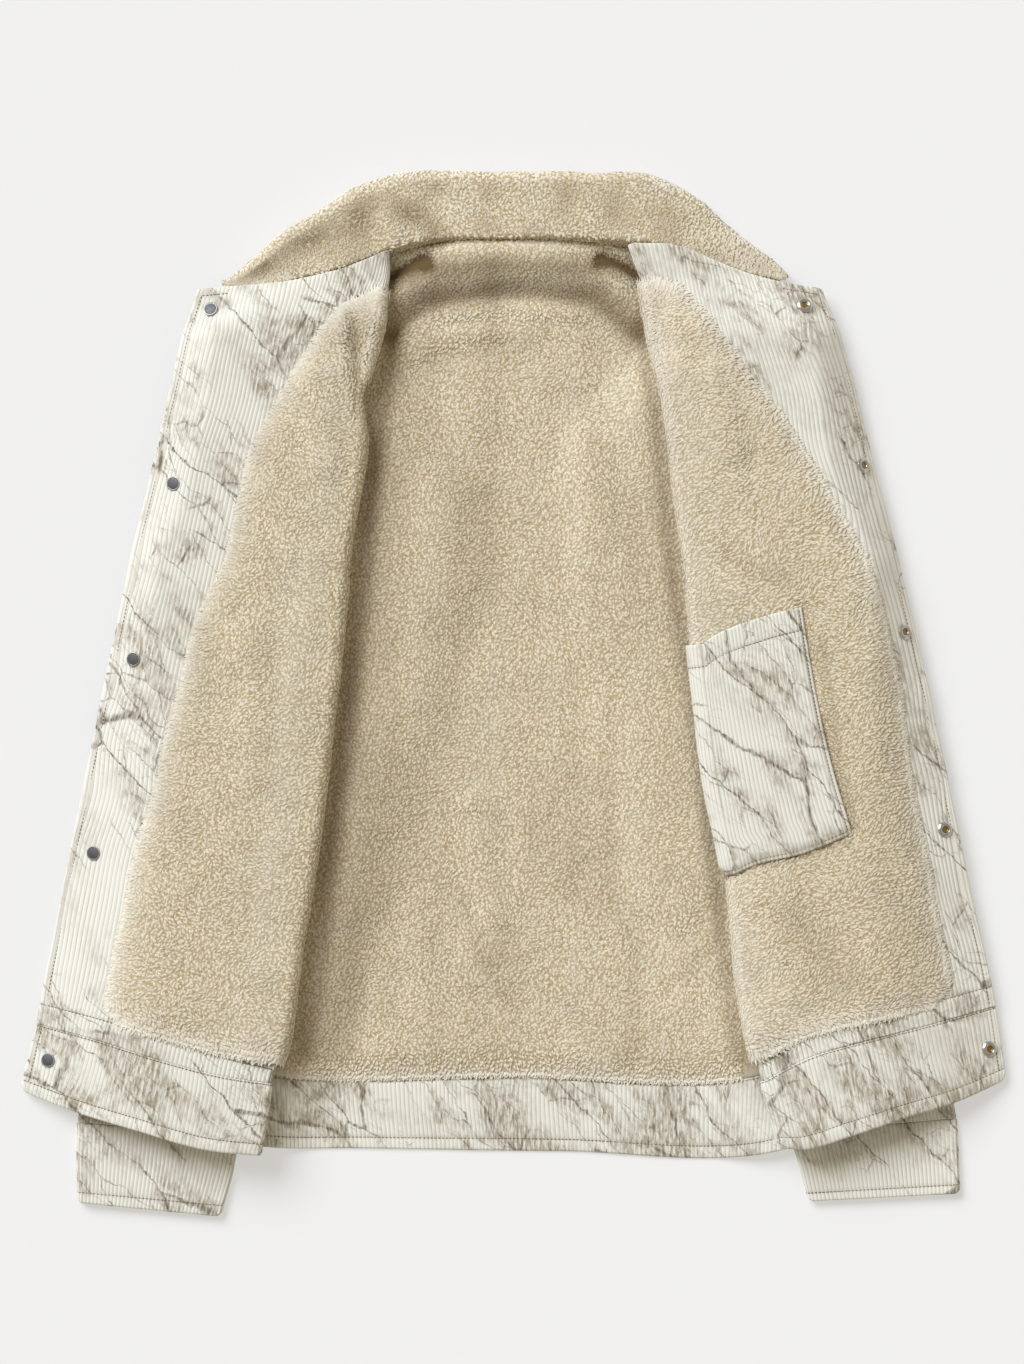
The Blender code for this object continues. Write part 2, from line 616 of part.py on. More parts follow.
def build_front(name):
    """One turned-back front: shell, lining, facing and hem band."""
    front = FRONTS[name]
    flip = front["side"] < 0
    folds = FRONT_FOLDS[name]
    point, upper = front_surface(front, PLACKET_EDGE_HEIGHT[name], FRONT_EDGES, folds)
    band_point, _ = front_surface(front, BAND_EDGE_HEIGHT[name], BAND_EDGES, folds)
    shares = [max(share_inside(front["lining edge"], upper, v), 0.05) for v in FRONT_ROWS]
    bends = [share_inside(BODY_EDGE, upper, v) + 0.01 for v in FRONT_ROWS]
    first_lining = UNDER_COLUMNS + ARC_COLUMNS
    first_facing = first_lining + LINING_COLUMNS
    columns = first_facing + FACING_COLUMNS
    rows = len(FRONT_ROWS) - 1

    def across(i, j, trim=0.0):
        """Where column i lies: q, and with trim the lining's edge is drawn back."""
        share = shares[j]
        if i <= UNDER_COLUMNS:
            return i / UNDER_COLUMNS - 1
        if i <= first_lining:
            return (i - UNDER_COLUMNS) / ARC_COLUMNS
        if i <= first_facing:
            return 1 + (share - trim) * (i - first_lining) / LINING_COLUMNS
        bend = min(max(bends[j], share + 0.08), 0.95)
        stops = (share, (share + bend) / 2, bend, (1 + bend) / 2, 1.0)
        return 1 + stops[i - first_facing]

    def down(i, j):
        """Where row j lies: the lining's foot follows its own slope."""
        if j != LINING_LAST_ROW or i < first_lining:
            return FRONT_ROWS[j]
        outward = min((i - first_lining) / LINING_COLUMNS, 1.0)
        return front["lining foot"] - front["lining foot slope"] * outward

    def in_lining(i, j):
        return i < first_facing and LINING_FIRST_ROW <= j < LINING_LAST_ROW

    def shell(i, j):
        return point(across(i, j), down(i, j), SHELL_LIFT)[0]

    def lining(i, j):
        head = FOOT_TRIM if j == LINING_FIRST_ROW and i > first_lining else 0.0
        foot = FOOT_TRIM if j == LINING_LAST_ROW else 0.0
        return point(across(i, j, SIDE_TRIM), down(i, j) + head - foot, LINING_LIFT)[0]

    def facing(i, j):
        head = FOOT_TRIM if j == LINING_FIRST_ROW and i < first_facing else 0.0
        return point(across(i, j), down(i, j) - head, FACING_LIFT)[0]

    def in_facing(i, j):
        return i >= first_lining and not in_lining(i, j)

    def band(i, j):
        return band_point(across(i, rows), BAND_TRIM + (1 - BAND_TRIM) * j / 2, SHELL_LIFT)[0]

    sheet(f"front_shell_{name}", columns, rows, shell, CORDUROY, "corduroy", flip=flip)
    sheet(f"front_lining_{name}", columns, rows, lining, SHERPA, "sherpa", in_lining, flip)
    sheet(f"front_facing_{name}", columns, rows, facing, CORDUROY, "corduroy", in_facing, flip)
    sheet(f"front_hem_band_{name}", columns, 2, band, BAND, "corduroy", flip=flip)
    return point, upper


def build_pocket(point, upper):
    """The patch pocket on the right front's lining, from round the fold's roll outward."""
    top, foot, outer = curve(POCKET_TOP), curve(POCKET_FOOT), curve(POCKET_OUTER)

    def place(i, j):
        inner = curve([POCKET_TOP[0], POCKET_FOOT[0]])
        outward = max(i - POCKET_WRAP_COLUMNS, 0) / POCKET_COLUMNS
        spot = patch(inner, outer, top, foot)(outward, j / POCKET_ROWS)
        u, v = find_on(upper, *spot)
        if i <= POCKET_WRAP_COLUMNS:
            return point(1 - (POCKET_WRAP_COLUMNS - i) / ARC_COLUMNS, v, POCKET_LIFT)[0]
        return point(1 + u, v, POCKET_LIFT)[0]

    columns = POCKET_WRAP_COLUMNS + POCKET_COLUMNS
    sheet("inner_pocket", columns, POCKET_ROWS, place, POCKET_CLOTH, "corduroy")


def turned_piece(name, profile, cloth, location, normal):
    """A round metal piece: its profile, from the axis or hole outward, spun about Z."""
    turned = bmesh.new()
    verts = [turned.verts.new((r * MM, 0.0, z * MM)) for r, z in profile]
    edges = [turned.edges.new(pair) for pair in zip(verts, verts[1:])]
    if profile[0][0] > 0:
        edges.append(turned.edges.new((verts[-1], verts[0])))
    bmesh.ops.spin(
        turned, geom=verts + edges, cent=(0, 0, 0), axis=(0, 0, 1), angle=math.tau,
        steps=SNAP_STEPS, use_merge=True,
    )
    bmesh.ops.remove_doubles(turned, verts=turned.verts, dist=0.001 * MM)
    bmesh.ops.recalc_face_normals(turned, faces=turned.faces)
    return finish(name, turned, cloth, location, normal)


def seat(panel, x, y, radius, facing_up):
    """Where a round piece rests flat on a panel's top or underside, clear all round its rim."""
    side = 1 if facing_up else -1
    far = 0.2            # metres, well past the jacket
    up = Vector((0, 0, side))
    _, spot, normal, _ = panel.ray_cast(Vector((x * MM, y * MM, side * far)), -up)
    tilt = up.rotation_difference(normal)
    highest = 0.0
    for k in range(SNAP_STEPS):
        angle = math.tau * k / SNAP_STEPS
        rim = tilt @ Vector((math.cos(angle), math.sin(angle), 0)) * radius * MM
        hit, place, _, _ = panel.ray_cast(spot + rim + normal * far / 10, -normal)
        if hit:
            highest = max(highest, (place - spot).dot(normal))
    return (spot + normal * (highest + SEAM_GAP * MM)) / MM, normal


def build_snaps(name):
    """Five snaps on a placket: the half that shows, and the half on the hidden side."""
    depsgraph = bpy.context.evaluated_depsgraph_get()
    panels = {kind: bpy.data.objects[f"front_{kind}_{name}"].evaluated_get(depsgraph)
              for kind in ("facing", "shell", "hem_band")}
    for number, (x, y) in enumerate(SNAPS[name], 1):
        on_band = number == len(SNAPS[name])
        top = panels["hem_band" if on_band else "facing"]
        under = panels["hem_band" if on_band else "shell"]
        above, normal = seat(top, x, y, SNAP_SEAT, True)
        below, under_normal = seat(under, x, y, SNAP_SEAT, False)
        if name == "left":
            turned_piece(f"snap_stud_left_{number}", SNAP_STUD, "pewter", above, normal)
        else:
            turned_piece(f"snap_socket_right_{number}", SNAP_RING, "silver", above, normal)
        turned_piece(f"snap_outer_{name}_{number}", SNAP_OUTER, "pewter", below, under_normal)


def build_collar():
    """The upper collar rolled over the under collar."""
    rows = np.array(COLLAR, float)
    steps = np.linalg.norm(np.diff(rows[:, :2], axis=0), axis=1)
    knots = np.concatenate([[0.0], np.cumsum(steps)]) / steps.sum()

    def station(share):
        return [float(np.interp(share, knots, rows[:, k])) for k in range(rows.shape[1])]

    stations = [station(i / COLLAR_COLUMNS) for i in range(COLLAR_COLUMNS + 1)]
    arc_from = COLLAR_TOP_ROWS
    arc_to = COLLAR_TOP_ROWS + ARC_COLUMNS
    total = arc_to + COLLAR_UNDER_ROWS
    outside = LINING_LIFT + COLLAR_SHERPA

    def place(lift, gap=0.0):
        def at(i, j):
            seam_x, seam_y, roll_x, roll_y, seam_z, roll_z, full = stations[i]
            seam, roll = np.array([seam_x, seam_y]), np.array([roll_x, roll_y])
            outward = (roll - seam) / np.linalg.norm(roll - seam)
            middle = roll - outward * outside * full
            height = lift * full + gap
            if j <= arc_from:
                part = j / arc_from
                spot = seam * (1 - part) + middle * part
                return (*spot, seam_z * (1 - ease(part)) + roll_z * ease(part) + height)
            if j < arc_to:
                angle = math.pi * (0.5 - (j - arc_from) / ARC_COLUMNS)
                spot = middle + outward * math.cos(angle) * height
                return (*spot, roll_z + math.sin(angle) * height)
            part = (j - arc_to) / COLLAR_UNDER_ROWS
            spot = middle * (1 - part) + seam * part
            return (*spot, seam_z * ease(part) + roll_z * (1 - ease(part)) - height)
        return at

    def fullness(i):
        return stations[i][-1]

    upper_lift = SHELL_LIFT + CORDUROY
    sheet("collar_upper", COLLAR_COLUMNS, total, place(upper_lift, 0.5), COLLAR_SHERPA, "sherpa",
          flip=True, fullness=fullness)
    sheet("collar_under", COLLAR_COLUMNS, total, place(SHELL_LIFT), CORDUROY, "corduroy",
          keep=lambda i, j: 0 < i < COLLAR_COLUMNS - 1, flip=True, fullness=fullness)


def main():
    for leftover in list(bpy.data.objects):
        bpy.data.objects.remove(leftover, do_unlink=True)
    jacket = bpy.data.collections.new("jacket")
    bpy.context.scene.collection.children.link(jacket)
    build_sleeves()
    build_back()
    for name, front in FRONTS.items():
        point, upper = build_front(name)
        build_snaps(name)
        if name == "right":
            build_pocket(point, upper)
    build_collar()


main()
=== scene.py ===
# %% [markdown]
# # A sherpa lined jacket, laid open
# This lesson dresses a plain solid model of a jacket that lies on its back. Both fronts are
# turned back outward, so most of what shows is its lining. The solids have the right sizes and
# places already. The work here is the cloth: corduroy with its raised wales, a curly sherpa
# pile, rows of stitches and metal snaps.
#
# Sizes are in millimetres, as a pattern cutter writes them, and MM turns them into metres.

# %% Load the frame
import math

import bmesh
import bpy
import numpy as np
from mathutils import Matrix, Vector


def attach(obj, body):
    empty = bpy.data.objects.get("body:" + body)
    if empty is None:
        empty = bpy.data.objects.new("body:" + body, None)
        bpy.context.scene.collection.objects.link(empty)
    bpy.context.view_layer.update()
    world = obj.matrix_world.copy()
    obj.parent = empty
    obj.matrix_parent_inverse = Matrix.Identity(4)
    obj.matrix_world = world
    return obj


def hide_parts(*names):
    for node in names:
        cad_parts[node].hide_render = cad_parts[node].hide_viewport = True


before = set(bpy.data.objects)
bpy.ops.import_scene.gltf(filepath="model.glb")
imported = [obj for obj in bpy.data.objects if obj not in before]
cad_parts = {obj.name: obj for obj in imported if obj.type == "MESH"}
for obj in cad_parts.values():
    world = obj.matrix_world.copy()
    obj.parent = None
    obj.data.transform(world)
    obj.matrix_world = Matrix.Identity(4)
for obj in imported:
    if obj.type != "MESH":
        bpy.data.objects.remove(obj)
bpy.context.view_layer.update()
MM = 0.001

# %% [markdown]
# ## The camera, the light and the floor
# A flat garment is shot from straight above with a long lens, so that perspective doesn't spread
# its edges. A sun lamp lights everything at one angle, which keeps the pale floor even, and its
# softness stands for a large studio box. It comes from the upper left, low enough to rake over
# the pile and the wales. The world fills the shadows.

# %% Camera
CAMERA_HEIGHT = 6.0
VIEW_CENTRE = (-0.75, 9.4)  # mm, where the view's middle meets the jacket
VIEW_LENGTH = 1023.0  # mm from the view's top to its bottom
VIEW_LEVEL = 25.0  # mm above the floor, where that length is measured
SENSOR = 36.0

scene = bpy.context.scene


def new_object(name, data):
    """An object in the scene, from its mesh, lens or lamp."""
    item = bpy.data.objects.new(name, data)
    scene.collection.objects.link(item)
    return item


lens = bpy.data.cameras.new("overhead camera")
lens.sensor_fit = "VERTICAL"
lens.sensor_height = SENSOR
lens.lens = SENSOR * (CAMERA_HEIGHT - VIEW_LEVEL * MM) / (VIEW_LENGTH * MM)
lens.clip_end = 4 * CAMERA_HEIGHT
camera = new_object("overhead_camera", lens)
camera.location = (VIEW_CENTRE[0] * MM, VIEW_CENTRE[1] * MM, CAMERA_HEIGHT)
scene.camera = camera
print("camera: lens", round(lens.lens, 1), "mm")

# %% Node helpers
def fill_inputs(node, **inputs):
    """Link or set a node's inputs: i0 is the first, others go by name, with _ for a space."""
    for key, value in inputs.items():
        numbered = key[0] == "i" and key[1:].isdigit()
        socket = node.inputs[int(key[1:]) if numbered else key.replace("_", " ")]
        if isinstance(value, bpy.types.NodeSocket):
            node.id_data.links.new(value, socket)
        else:
            socket.default_value = (*value, 1.0) if socket.type == "RGBA" else value


def new_finish(name, **inputs):
    """A material, its node tree and its shader, with some of the shader's inputs set."""
    finish = bpy.data.materials.new(name)
    finish.use_nodes = True
    shader = finish.node_tree.nodes["Principled BSDF"]
    fill_inputs(shader, **inputs)
    return finish, finish.node_tree, shader

# %% Light and floor
SUN_FROM = (-0.54, 0.64, 0.70)  # towards the main light
SUN_STRENGTH = 2.72
SUN_COLOUR = (1.0, 1.05, 1.16)  # slightly cool, against the warm fill
SUN_SOFTNESS = 36.0  # degrees that the lamp fills
FILL_STRENGTH = 0.43
FILL_COLOUR = (1.0, 0.90, 0.73)
FLOOR_COLOUR = (0.45, 0.45, 0.45)
FLOOR_GLOW = 0.43  # the floor is a lit sheet, so shadows on it are faint
FLOOR_SIZE = 12.0

scene.view_settings.view_transform = "Standard"
sun = bpy.data.lights.new("studio key", "SUN")
sun.energy = SUN_STRENGTH
sun.color = SUN_COLOUR
sun.angle = math.radians(SUN_SOFTNESS)
sun_lamp = new_object("studio_key", sun)
sun_lamp.rotation_euler = Vector(SUN_FROM).to_track_quat("Z", "Y").to_euler()

world = bpy.data.worlds.new("studio")
world.use_nodes = True
fill_inputs(world.node_tree.nodes["Background"], Color=FILL_COLOUR, Strength=FILL_STRENGTH)
scene.world = world

floor_plan = bmesh.new()
bmesh.ops.create_grid(floor_plan, x_segments=1, y_segments=1, size=FLOOR_SIZE / 2)
floor_mesh = bpy.data.meshes.new("floor")
floor_plan.to_mesh(floor_mesh)
floor_plan.free()
floor_mesh.materials.append(new_finish(
    "floor paint", Base_Color=FLOOR_COLOUR, Roughness=0.9, Emission_Color=(1.0, 1.0, 1.0),
    Emission_Strength=FLOOR_GLOW)[0])
floor = new_object("floor", floor_mesh)
print("floor:", FLOOR_SIZE, "m across, under a sun", SUN_SOFTNESS, "degrees wide")

# %% [markdown]
# ## The jacket's cut
# These are the sizes that the solids were made from, repeated because the finer cloth follows
# the same surfaces. Each table has the points of an edge in plan, with x to the right and y
# towards the collar.

# %% Cloth and layers
CORDUROY = 1.6
SHERPA = 6.5
BAND = 3.0
POCKET_CLOTH = 1.5
FOLD_RADIUS = 1.0
TURNED_RISE = 1.6
TURNED_RISE_RUN = 0.15
SEAM_GAP = 0.3
PILE_GAP = 0.8
LAYER_CLEAR = 2.6
SHELL_LIFT = FOLD_RADIUS
LINING_LIFT = SHELL_LIFT + CORDUROY + SEAM_GAP
FACING_LIFT = LINING_LIFT + SEAM_GAP
POCKET_LIFT = LINING_LIFT + SHERPA + 1.5 * PILE_GAP
BACK_LINING_LIFT = CORDUROY + 0.5
FRONT_MIDDLE = BACK_LINING_LIFT + SHERPA + LAYER_CLEAR + LINING_LIFT + SHERPA
print("a front's fold is", FRONT_MIDDLE, "mm above the back's underside")

# %% Sleeves and cuffs
SLEEVE_HEIGHT = 8.0
CUFF_HEIGHT = 7.6
SLEEVE_WALL = 2.6
SLEEVE_CLEAR = 1.4
DRAPE_MARGIN = 12.0
DRAPE_RUN = 54.0
# columns: outer x, outer y, inner x, inner y; both sleeves start alike
SLEEVE_HEAD = [
    (230, 246, 156, 256), (247, 200, 108, 210), (260, 150, 76, 158), (272, 80, 80, 84),
    (290, -30, 110, -36), (307, -150, 148, -156),
]
SLEEVES = {
    "left": [(-outer, y, -inner, inner_y) for outer, y, inner, inner_y in SLEEVE_HEAD]
    + [(-321, -255, -184, -264), (-328, -321.5, -205, -331)],
    "right": SLEEVE_HEAD + [(323, -255, 184, -264), (334, -318.5, 207, -329)],
}
CUFFS = {
    "left": [
        (-328.5, -322, -205, -331.5), (-328.7, -352, -210.5, -362),
        (-328.3, -382.5, -219.5, -393),
    ],
    "right": [
        (334.5, -319, 207, -329.5), (336, -350, 216, -358), (337, -375.5, 221.5, -381.5),
    ],
}
print("cuffs end at y of", {side: rows[-1][3] for side, rows in CUFFS.items()})

# %% The back
NECK_AND_SHOULDERS = [
    (-222, 272), (-160, 302), (-96, 330), (-60, 338), (-9, 339.8), (50, 339.8), (86, 336.5),
    (98, 330), (160, 302), (222, 272),
]
BACK_SIDE = [(222, 272), (227, 215), (240, 150), (264, 100), (266, 0), (265, -130)]
BACK_LEFT_SIDE = [(-x, y) for x, y in BACK_SIDE] + [(-263, -266)]
BACK_RIGHT_SIDE = BACK_SIDE + [(263, -262)]
BACK_HEM_SEAM = [
    (-263, -266), (-225, -279), (-177, -286.8), (0, -287.5), (185, -286.8), (228, -275),
    (263, -262),
]
BACK_HEM = [
    (-260, -322), (-225, -333), (-188, -340), (-113, -341.6), (35, -343.8), (198, -343.6),
    (232, -334), (260, -320),
]
BODY_EDGE = [(97, 334), (222, 272), (227, 215), (240, 150), (265, 100), (266, 0), (263, -266)]
print("the back's seams are", BACK_HEM_SEAM[-1][0] - BACK_HEM_SEAM[0][0], "mm apart at the hem")

# %% The left front's edges
LEFT_FRONT = {
    "side": -1,
    "fold": [
        (-97, 332.5), (-97.5, 314), (-102, 292), (-107.5, 266), (-114, 237), (-118, 207),
        (-117.5, 186), (-121, 160), (-129, 115), (-134, 60), (-138, 18), (-147, -60), (-155, -124),
        (-168, -207), (-174, -254), (-183.5, -291),
    ],
    "placket": [(-236.2, 304), (-252.8, 239.5), (-274.5, 146), (-323.3, -79), (-357.6, -247.5)],
    "neck": [(-97, 332.5), (-126, 320.3), (-159, 310.6), (-211, 305.3), (-236.2, 304)],
    "seam": [(-183.5, -291), (-217, -285.8), (-261, -274.6), (-310, -259.6), (-357.6, -247.5)],
    "shoulder": [(-97, 332.5), (-150, 299), (-206, 262)],
    "side seam": [(-206, 262), (-218, 208), (-236, 150), (-263, 98), (-266, 0), (-263, -265.5)],
    "under seam": [(-183.5, -291), (-225, -279), (-263, -265.5)],
    "lining edge": [
        (-93, 307), (-122, 298), (-145, 270), (-166, 236), (-181, 210), (-196, 181), (-202, 153),
        (-213, 101), (-226, 78), (-239, 47), (-248, 1), (-260, -37), (-266, -75), (-279, -114),
        (-304, -234), (-309, -262),
    ],
    "band fold": [(-183.5, -291.3), (-192, -345.5)],
    "band placket": [(-357.7, -247.8), (-370.3, -298)],
    "hem": [(-192, -345.5), (-229.5, -341.5), (-280, -327.5), (-329, -313.3), (-370.3, -298)],
    "under hem": [(-192, -345.5), (-225, -332), (-260, -321.5)],
    "under side": [(-263, -265.8), (-260, -321.5)],
}
print("left fold:", len(LEFT_FRONT["fold"]), "points")

# %% The right front's edges
RIGHT_FRONT = {
    "side": 1,
    "fold": [
        (91, 339), (97, 322), (102, 305), (105, 290), (111, 253), (120, 219), (122, 205),
        (128, 153), (136, 101), (142, 27), (147, -13), (153, -62), (168, -140), (175, -214),
        (180, -245), (188.5, -289),
    ],
    "placket": [
        (231, 304.8), (246, 258.4), (275.3, 146), (312, -4), (344.3, -154), (362.4, -234.2),
    ],
    "neck": [(91, 339), (121.5, 337.2), (145.5, 328.2), (172.5, 316.4), (204, 308.4), (231, 304.8)],
    "seam": [(188.5, -289), (222, -271.6), (263, -259.6), (315, -246.8), (362.4, -234.2)],
    "shoulder": [(91, 339), (148, 300), (206, 262)],
    "side seam": [(206, 262), (218, 208), (236, 150), (263, 98), (266, 0), (263, -261.5)],
    "under seam": [(188.5, -289), (228, -275), (263, -261.5)],
    "lining edge": [
        (96, 316), (111, 311.5), (126, 303), (145, 281), (163, 258), (179, 236), (202, 206),
        (233, 155), (263, 101), (273, 60), (286, 3), (291, -37), (297, -78), (308, -127),
        (311, -147), (318, -184), (328, -224), (318, -240),
    ],
    "band fold": [(188.5, -289.3), (193, -306), (202.5, -340)],
    "band placket": [(362.5, -234.5), (370.5, -290)],
    "hem": [(202.5, -340), (217, -341), (253, -331), (291, -318.4), (334, -305.6), (370.5, -290)],
    "under hem": [(202.5, -340), (232, -332), (260, -319.5)],
    "under side": [(263, -261.8), (260, -319.5)],
}
print("right fold:", len(RIGHT_FRONT["fold"]), "points")

# %% Both fronts
FRONTS = {"left": LEFT_FRONT, "right": RIGHT_FRONT}
FRONT_EDGES = ("fold", "placket", "neck", "seam", "side seam", "shoulder", "under seam")
BAND_EDGES = ("band fold", "band placket", "seam", "hem", "under side", "under seam", "under hem")
PLACKET_EDGE_HEIGHT = {
    "left": [(0.0, 11), (0.15, 15), (0.35, 17), (0.6, 12), (0.8, 7), (1.0, 4.5)],
    "right": [(0.0, 9), (0.15, 6), (0.35, 6), (0.6, 7), (0.8, 7), (1.0, 4)],
}
BAND_EDGE_HEIGHT = {"left": [(0.0, 4.5), (1.0, 3.5)], "right": [(0.0, 4), (1.0, 3.2)]}
DROOP_POWER = 1.35
DROOP_START = 1.0
LINING_HEAD, LINING_FOOT = 0.045, 0.984  # shares of a front's length where its lining ends
FOOT_SLOPE = {"left": 0.018, "right": 0.02}  # and how much higher it ends at its outer corner
print("each front has", len(FRONT_EDGES), "edges and its hem band", len(BAND_EDGES))

# %% Neck roll and soft folds
NECK_Y = 333.0
NECK_HEIGHT = 13.5
NECK_HALF = 91.0
NECK_SWEEP = 34.0
NECK_FALL = 38.0
NECK_RISE = 12.0
NECK_END_RUN = 40.0
NECK_END_SHARE = 0.5
NECK_BACK_DROP = (0.2, 0.6)
# columns: points, height, half width
BACK_FOLDS = [
    ([(-27, -85), (-20, -190)], 3.0, 22), ([(-15, -172), (80, -262)], 3.0, 22),
    ([(-72, 262), (12, 276)], 2.5, 20), ([(62, 190), (68, 120)], 2.5, 20),
]
FRONT_FOLDS = {
    "left": [([(-150, 236), (-142, 172)], 2.5, 20), ([(-200, 40), (-190, -60)], 2.5, 24)],
    "right": [([(150, 236), (166, 186)], 2.5, 20), ([(196, -150), (214, -220)], 2.5, 24)],
}
print("soft folds:", len(BACK_FOLDS), "on the back and", len(FRONT_FOLDS["left"]), "on a front")

# %% Collar and pocket
# columns: neck seam x, y, roll x, y, height of the seam end, height of the roll, fullness
COLLAR = [
    (-209, 306.7, -221, 308.8, 13.0, 10.5, 0.5),
    (-196, 307.0, -211, 315, 13.5, 10.2, 0.6),
    (-176, 308.9, -196, 327, 14.0, 9.8, 0.78),
    (-157, 313.5, -177, 345, 14.0, 9.7, 0.92),
    (-126, 321.6, -150, 362, 13.5, 9.7, 1.0),
    (-94, 334.2, -121, 380.4, 13.0, 9.7, 1.0),
    (-60, 342.5, -82, 392.2, 12.5, 9.7, 1.0),
    (-9, 343.5, -13, 393.2, 12.5, 9.7, 1.0),
    (50, 343.6, 58, 392.8, 12.5, 9.7, 1.0),
    (89, 340.5, 104, 391, 13.0, 9.7, 1.0),
    (122, 336.4, 138, 373.4, 13.5, 9.7, 0.95),
    (146, 327.4, 158, 355.6, 14.0, 9.8, 0.82),
    (172, 318.3, 180, 337.4, 14.0, 9.9, 0.66),
    (190, 314, 198, 325, 13.0, 10.2, 0.56),
    (202, 312, 209.5, 315.5, 12.0, 10.5, 0.5),
]
POCKET_TOP = [(134, 31), (151, 44), (184, 57.5), (216, 65.6)]
POCKET_FOOT = [(159, -139), (179, -128.6), (217, -119), (254, -104)]
POCKET_OUTER = [(216, 65.6), (227, 0), (238.5, -52), (254, -104)]
POCKET_WRAP = 2 / 3  # share of the fold's turn that the pocket goes round
print("the collar is", COLLAR[-1][2] - COLLAR[0][2], "mm wide")

# %% [markdown]
# ## Curves and surfaces
# A panel is a surface between four edge curves, as a pattern piece is. It could be placed point
# by point, but between curves it stays smooth, and one table of edges serves every layer. These
# functions take whole arrays, so that numpy works out ten thousand points at once.

# %% Curves and patches
def curve(points):
    """A smooth curve through points, read from 0 to 1 by its length."""
    through = np.array(points, float)
    steps = np.linalg.norm(np.diff(through[:, :2], axis=0), axis=1)
    knots = np.concatenate([[0.0], np.cumsum(steps)]) / steps.sum()
    slopes = np.gradient(through, knots, axis=0)

    def at(share):
        share = np.clip(share, 0.0, 1.0)
        k = np.clip(np.searchsorted(knots, share, side="right") - 1, 0, len(knots) - 2)
        span = (knots[k + 1] - knots[k])[..., None]
        s = (share - knots[k])[..., None] / span
        return (
            (1 + 2 * s) * (1 - s) ** 2 * through[k]
            + s * (1 - s) ** 2 * span * slopes[k]
            + s * s * (3 - 2 * s) * through[k + 1]
            + s * s * (s - 1) * span * slopes[k + 1]
        )

    return at


def patch(near, far, top, foot):
    """A surface in plan between four edge curves: u runs near to far, v top to foot."""
    start, end = np.array(0.0), np.array(1.0)

    def at(u, v):
        a, b = u[..., None], v[..., None]
        across = near(v) * (1 - a) + far(v) * a
        down = top(u) * (1 - b) + foot(u) * b
        corners = (
            near(start) * (1 - a) * (1 - b) + far(start) * a * (1 - b)
            + near(end) * (1 - a) * b + far(end) * a * b
        )
        return across + down - corners

    return at


print("a straight line, halfway:", curve([(0, 0), (4, 2)])(np.array(0.5)))

# %% Small helpers
def ease(share):
    """0 to 1 with level ends."""
    share = np.clip(share, 0.0, 1.0)
    return share * share * (3 - 2 * share)


def end_bend(distance, radius):
    """How far an edge draws in, this far from its end, where a corner is round."""
    out = np.clip(radius - distance, 0.0, radius)
    return radius - np.sqrt(radius ** 2 - out ** 2)


def unit(vectors):
    return vectors / np.maximum(np.linalg.norm(vectors, axis=-1, keepdims=True), 1e-9)


def stacked(*parts):
    """Tables side by side, such as those of x and y, as one table of places."""
    return np.stack(parts, axis=-1)


def raised(plan, height):
    """Places in plan, given their height."""
    return np.concatenate([plan, height[..., None]], axis=-1)


def spaced(*runs):
    """Even spacings end to end. Each run is its start, its end and its number of places."""
    parts = [np.linspace(*run)[:-1] for run in runs[:-1]]
    return np.concatenate(parts + [np.linspace(*runs[-1])])


def both_sides(make, seeds):
    """What a function makes for the left and for the right front, each from its own seed."""
    return {name: make(name, seed) for name, seed in zip(FRONTS, seeds)}


print("a fold's rise, a quarter of the way up:", ease(0.25))

# %% The drape over the sleeves
def read_edge(rows, at, given=1, wanted=0):
    """One column of an edge's table, read where another column has a value."""
    rows = sorted(rows, key=lambda row: row[given])
    return np.interp(at, [row[given] for row in rows], [row[wanted] for row in rows])


def sleeve_drape(x, y):
    """Height of the cloth that lies over the sleeves."""
    heights = []
    for side in ("left", "right"):
        rows = SLEEVES[side] + CUFFS[side][1:]
        outer, inner = np.abs(read_edge(rows, y)), np.abs(read_edge(rows, y, 3, 2))
        outside = np.maximum(np.abs(x) - outer, inner - np.abs(x)) - DRAPE_MARGIN
        above = y - SLEEVES[side][0][3] - DRAPE_MARGIN
        clear = np.hypot(np.maximum(outside, 0.0), np.maximum(above, 0.0))
        heights.append((SLEEVE_HEIGHT + SLEEVE_CLEAR) * (1 - ease(clear / DRAPE_RUN)))
    return np.where(x < 0, heights[0], heights[1])


print("over the middle of a sleeve:", sleeve_drape(-200.0, 0.0), "mm up")

# %% The back's height
def neck_roll(x, y):
    """The cloth's rise at the back of the neck, over the collar's seam."""
    reach = np.minimum(np.abs(x) / NECK_HALF, 1.0)
    middle = NECK_Y - NECK_SWEEP * reach ** 3
    top = NECK_HEIGHT * (1 - (1 - NECK_END_SHARE) * reach ** 2)
    top = top * (1 - ease((np.abs(x) - NECK_HALF) / NECK_END_RUN))
    at_middle, at_ends = NECK_BACK_DROP
    behind = 1 - (at_middle + at_ends * reach ** 2) * ease((y - middle) / NECK_RISE)
    return top * np.where(y < middle, 1 - ease((middle - y) / NECK_FALL), behind)


def soft_lines(lines, x, y):
    """Relief along bent lines. Each row is a list of points, a height and a half width."""
    relief = np.zeros(np.shape(x))
    for points, height, half in lines:
        away = np.full(np.shape(x), np.inf)
        for (x0, y0), (x1, y1) in zip(points, points[1:]):
            run = (x1 - x0) ** 2 + (y1 - y0) ** 2
            along = np.clip(((x - x0) * (x1 - x0) + (y - y0) * (y1 - y0)) / run, 0.0, 1.0)
            away = np.minimum(away, np.hypot(x - x0 - along * (x1 - x0),
                                             y - y0 - along * (y1 - y0)))
        relief = relief + height * (1 - ease(away / half))
    return relief


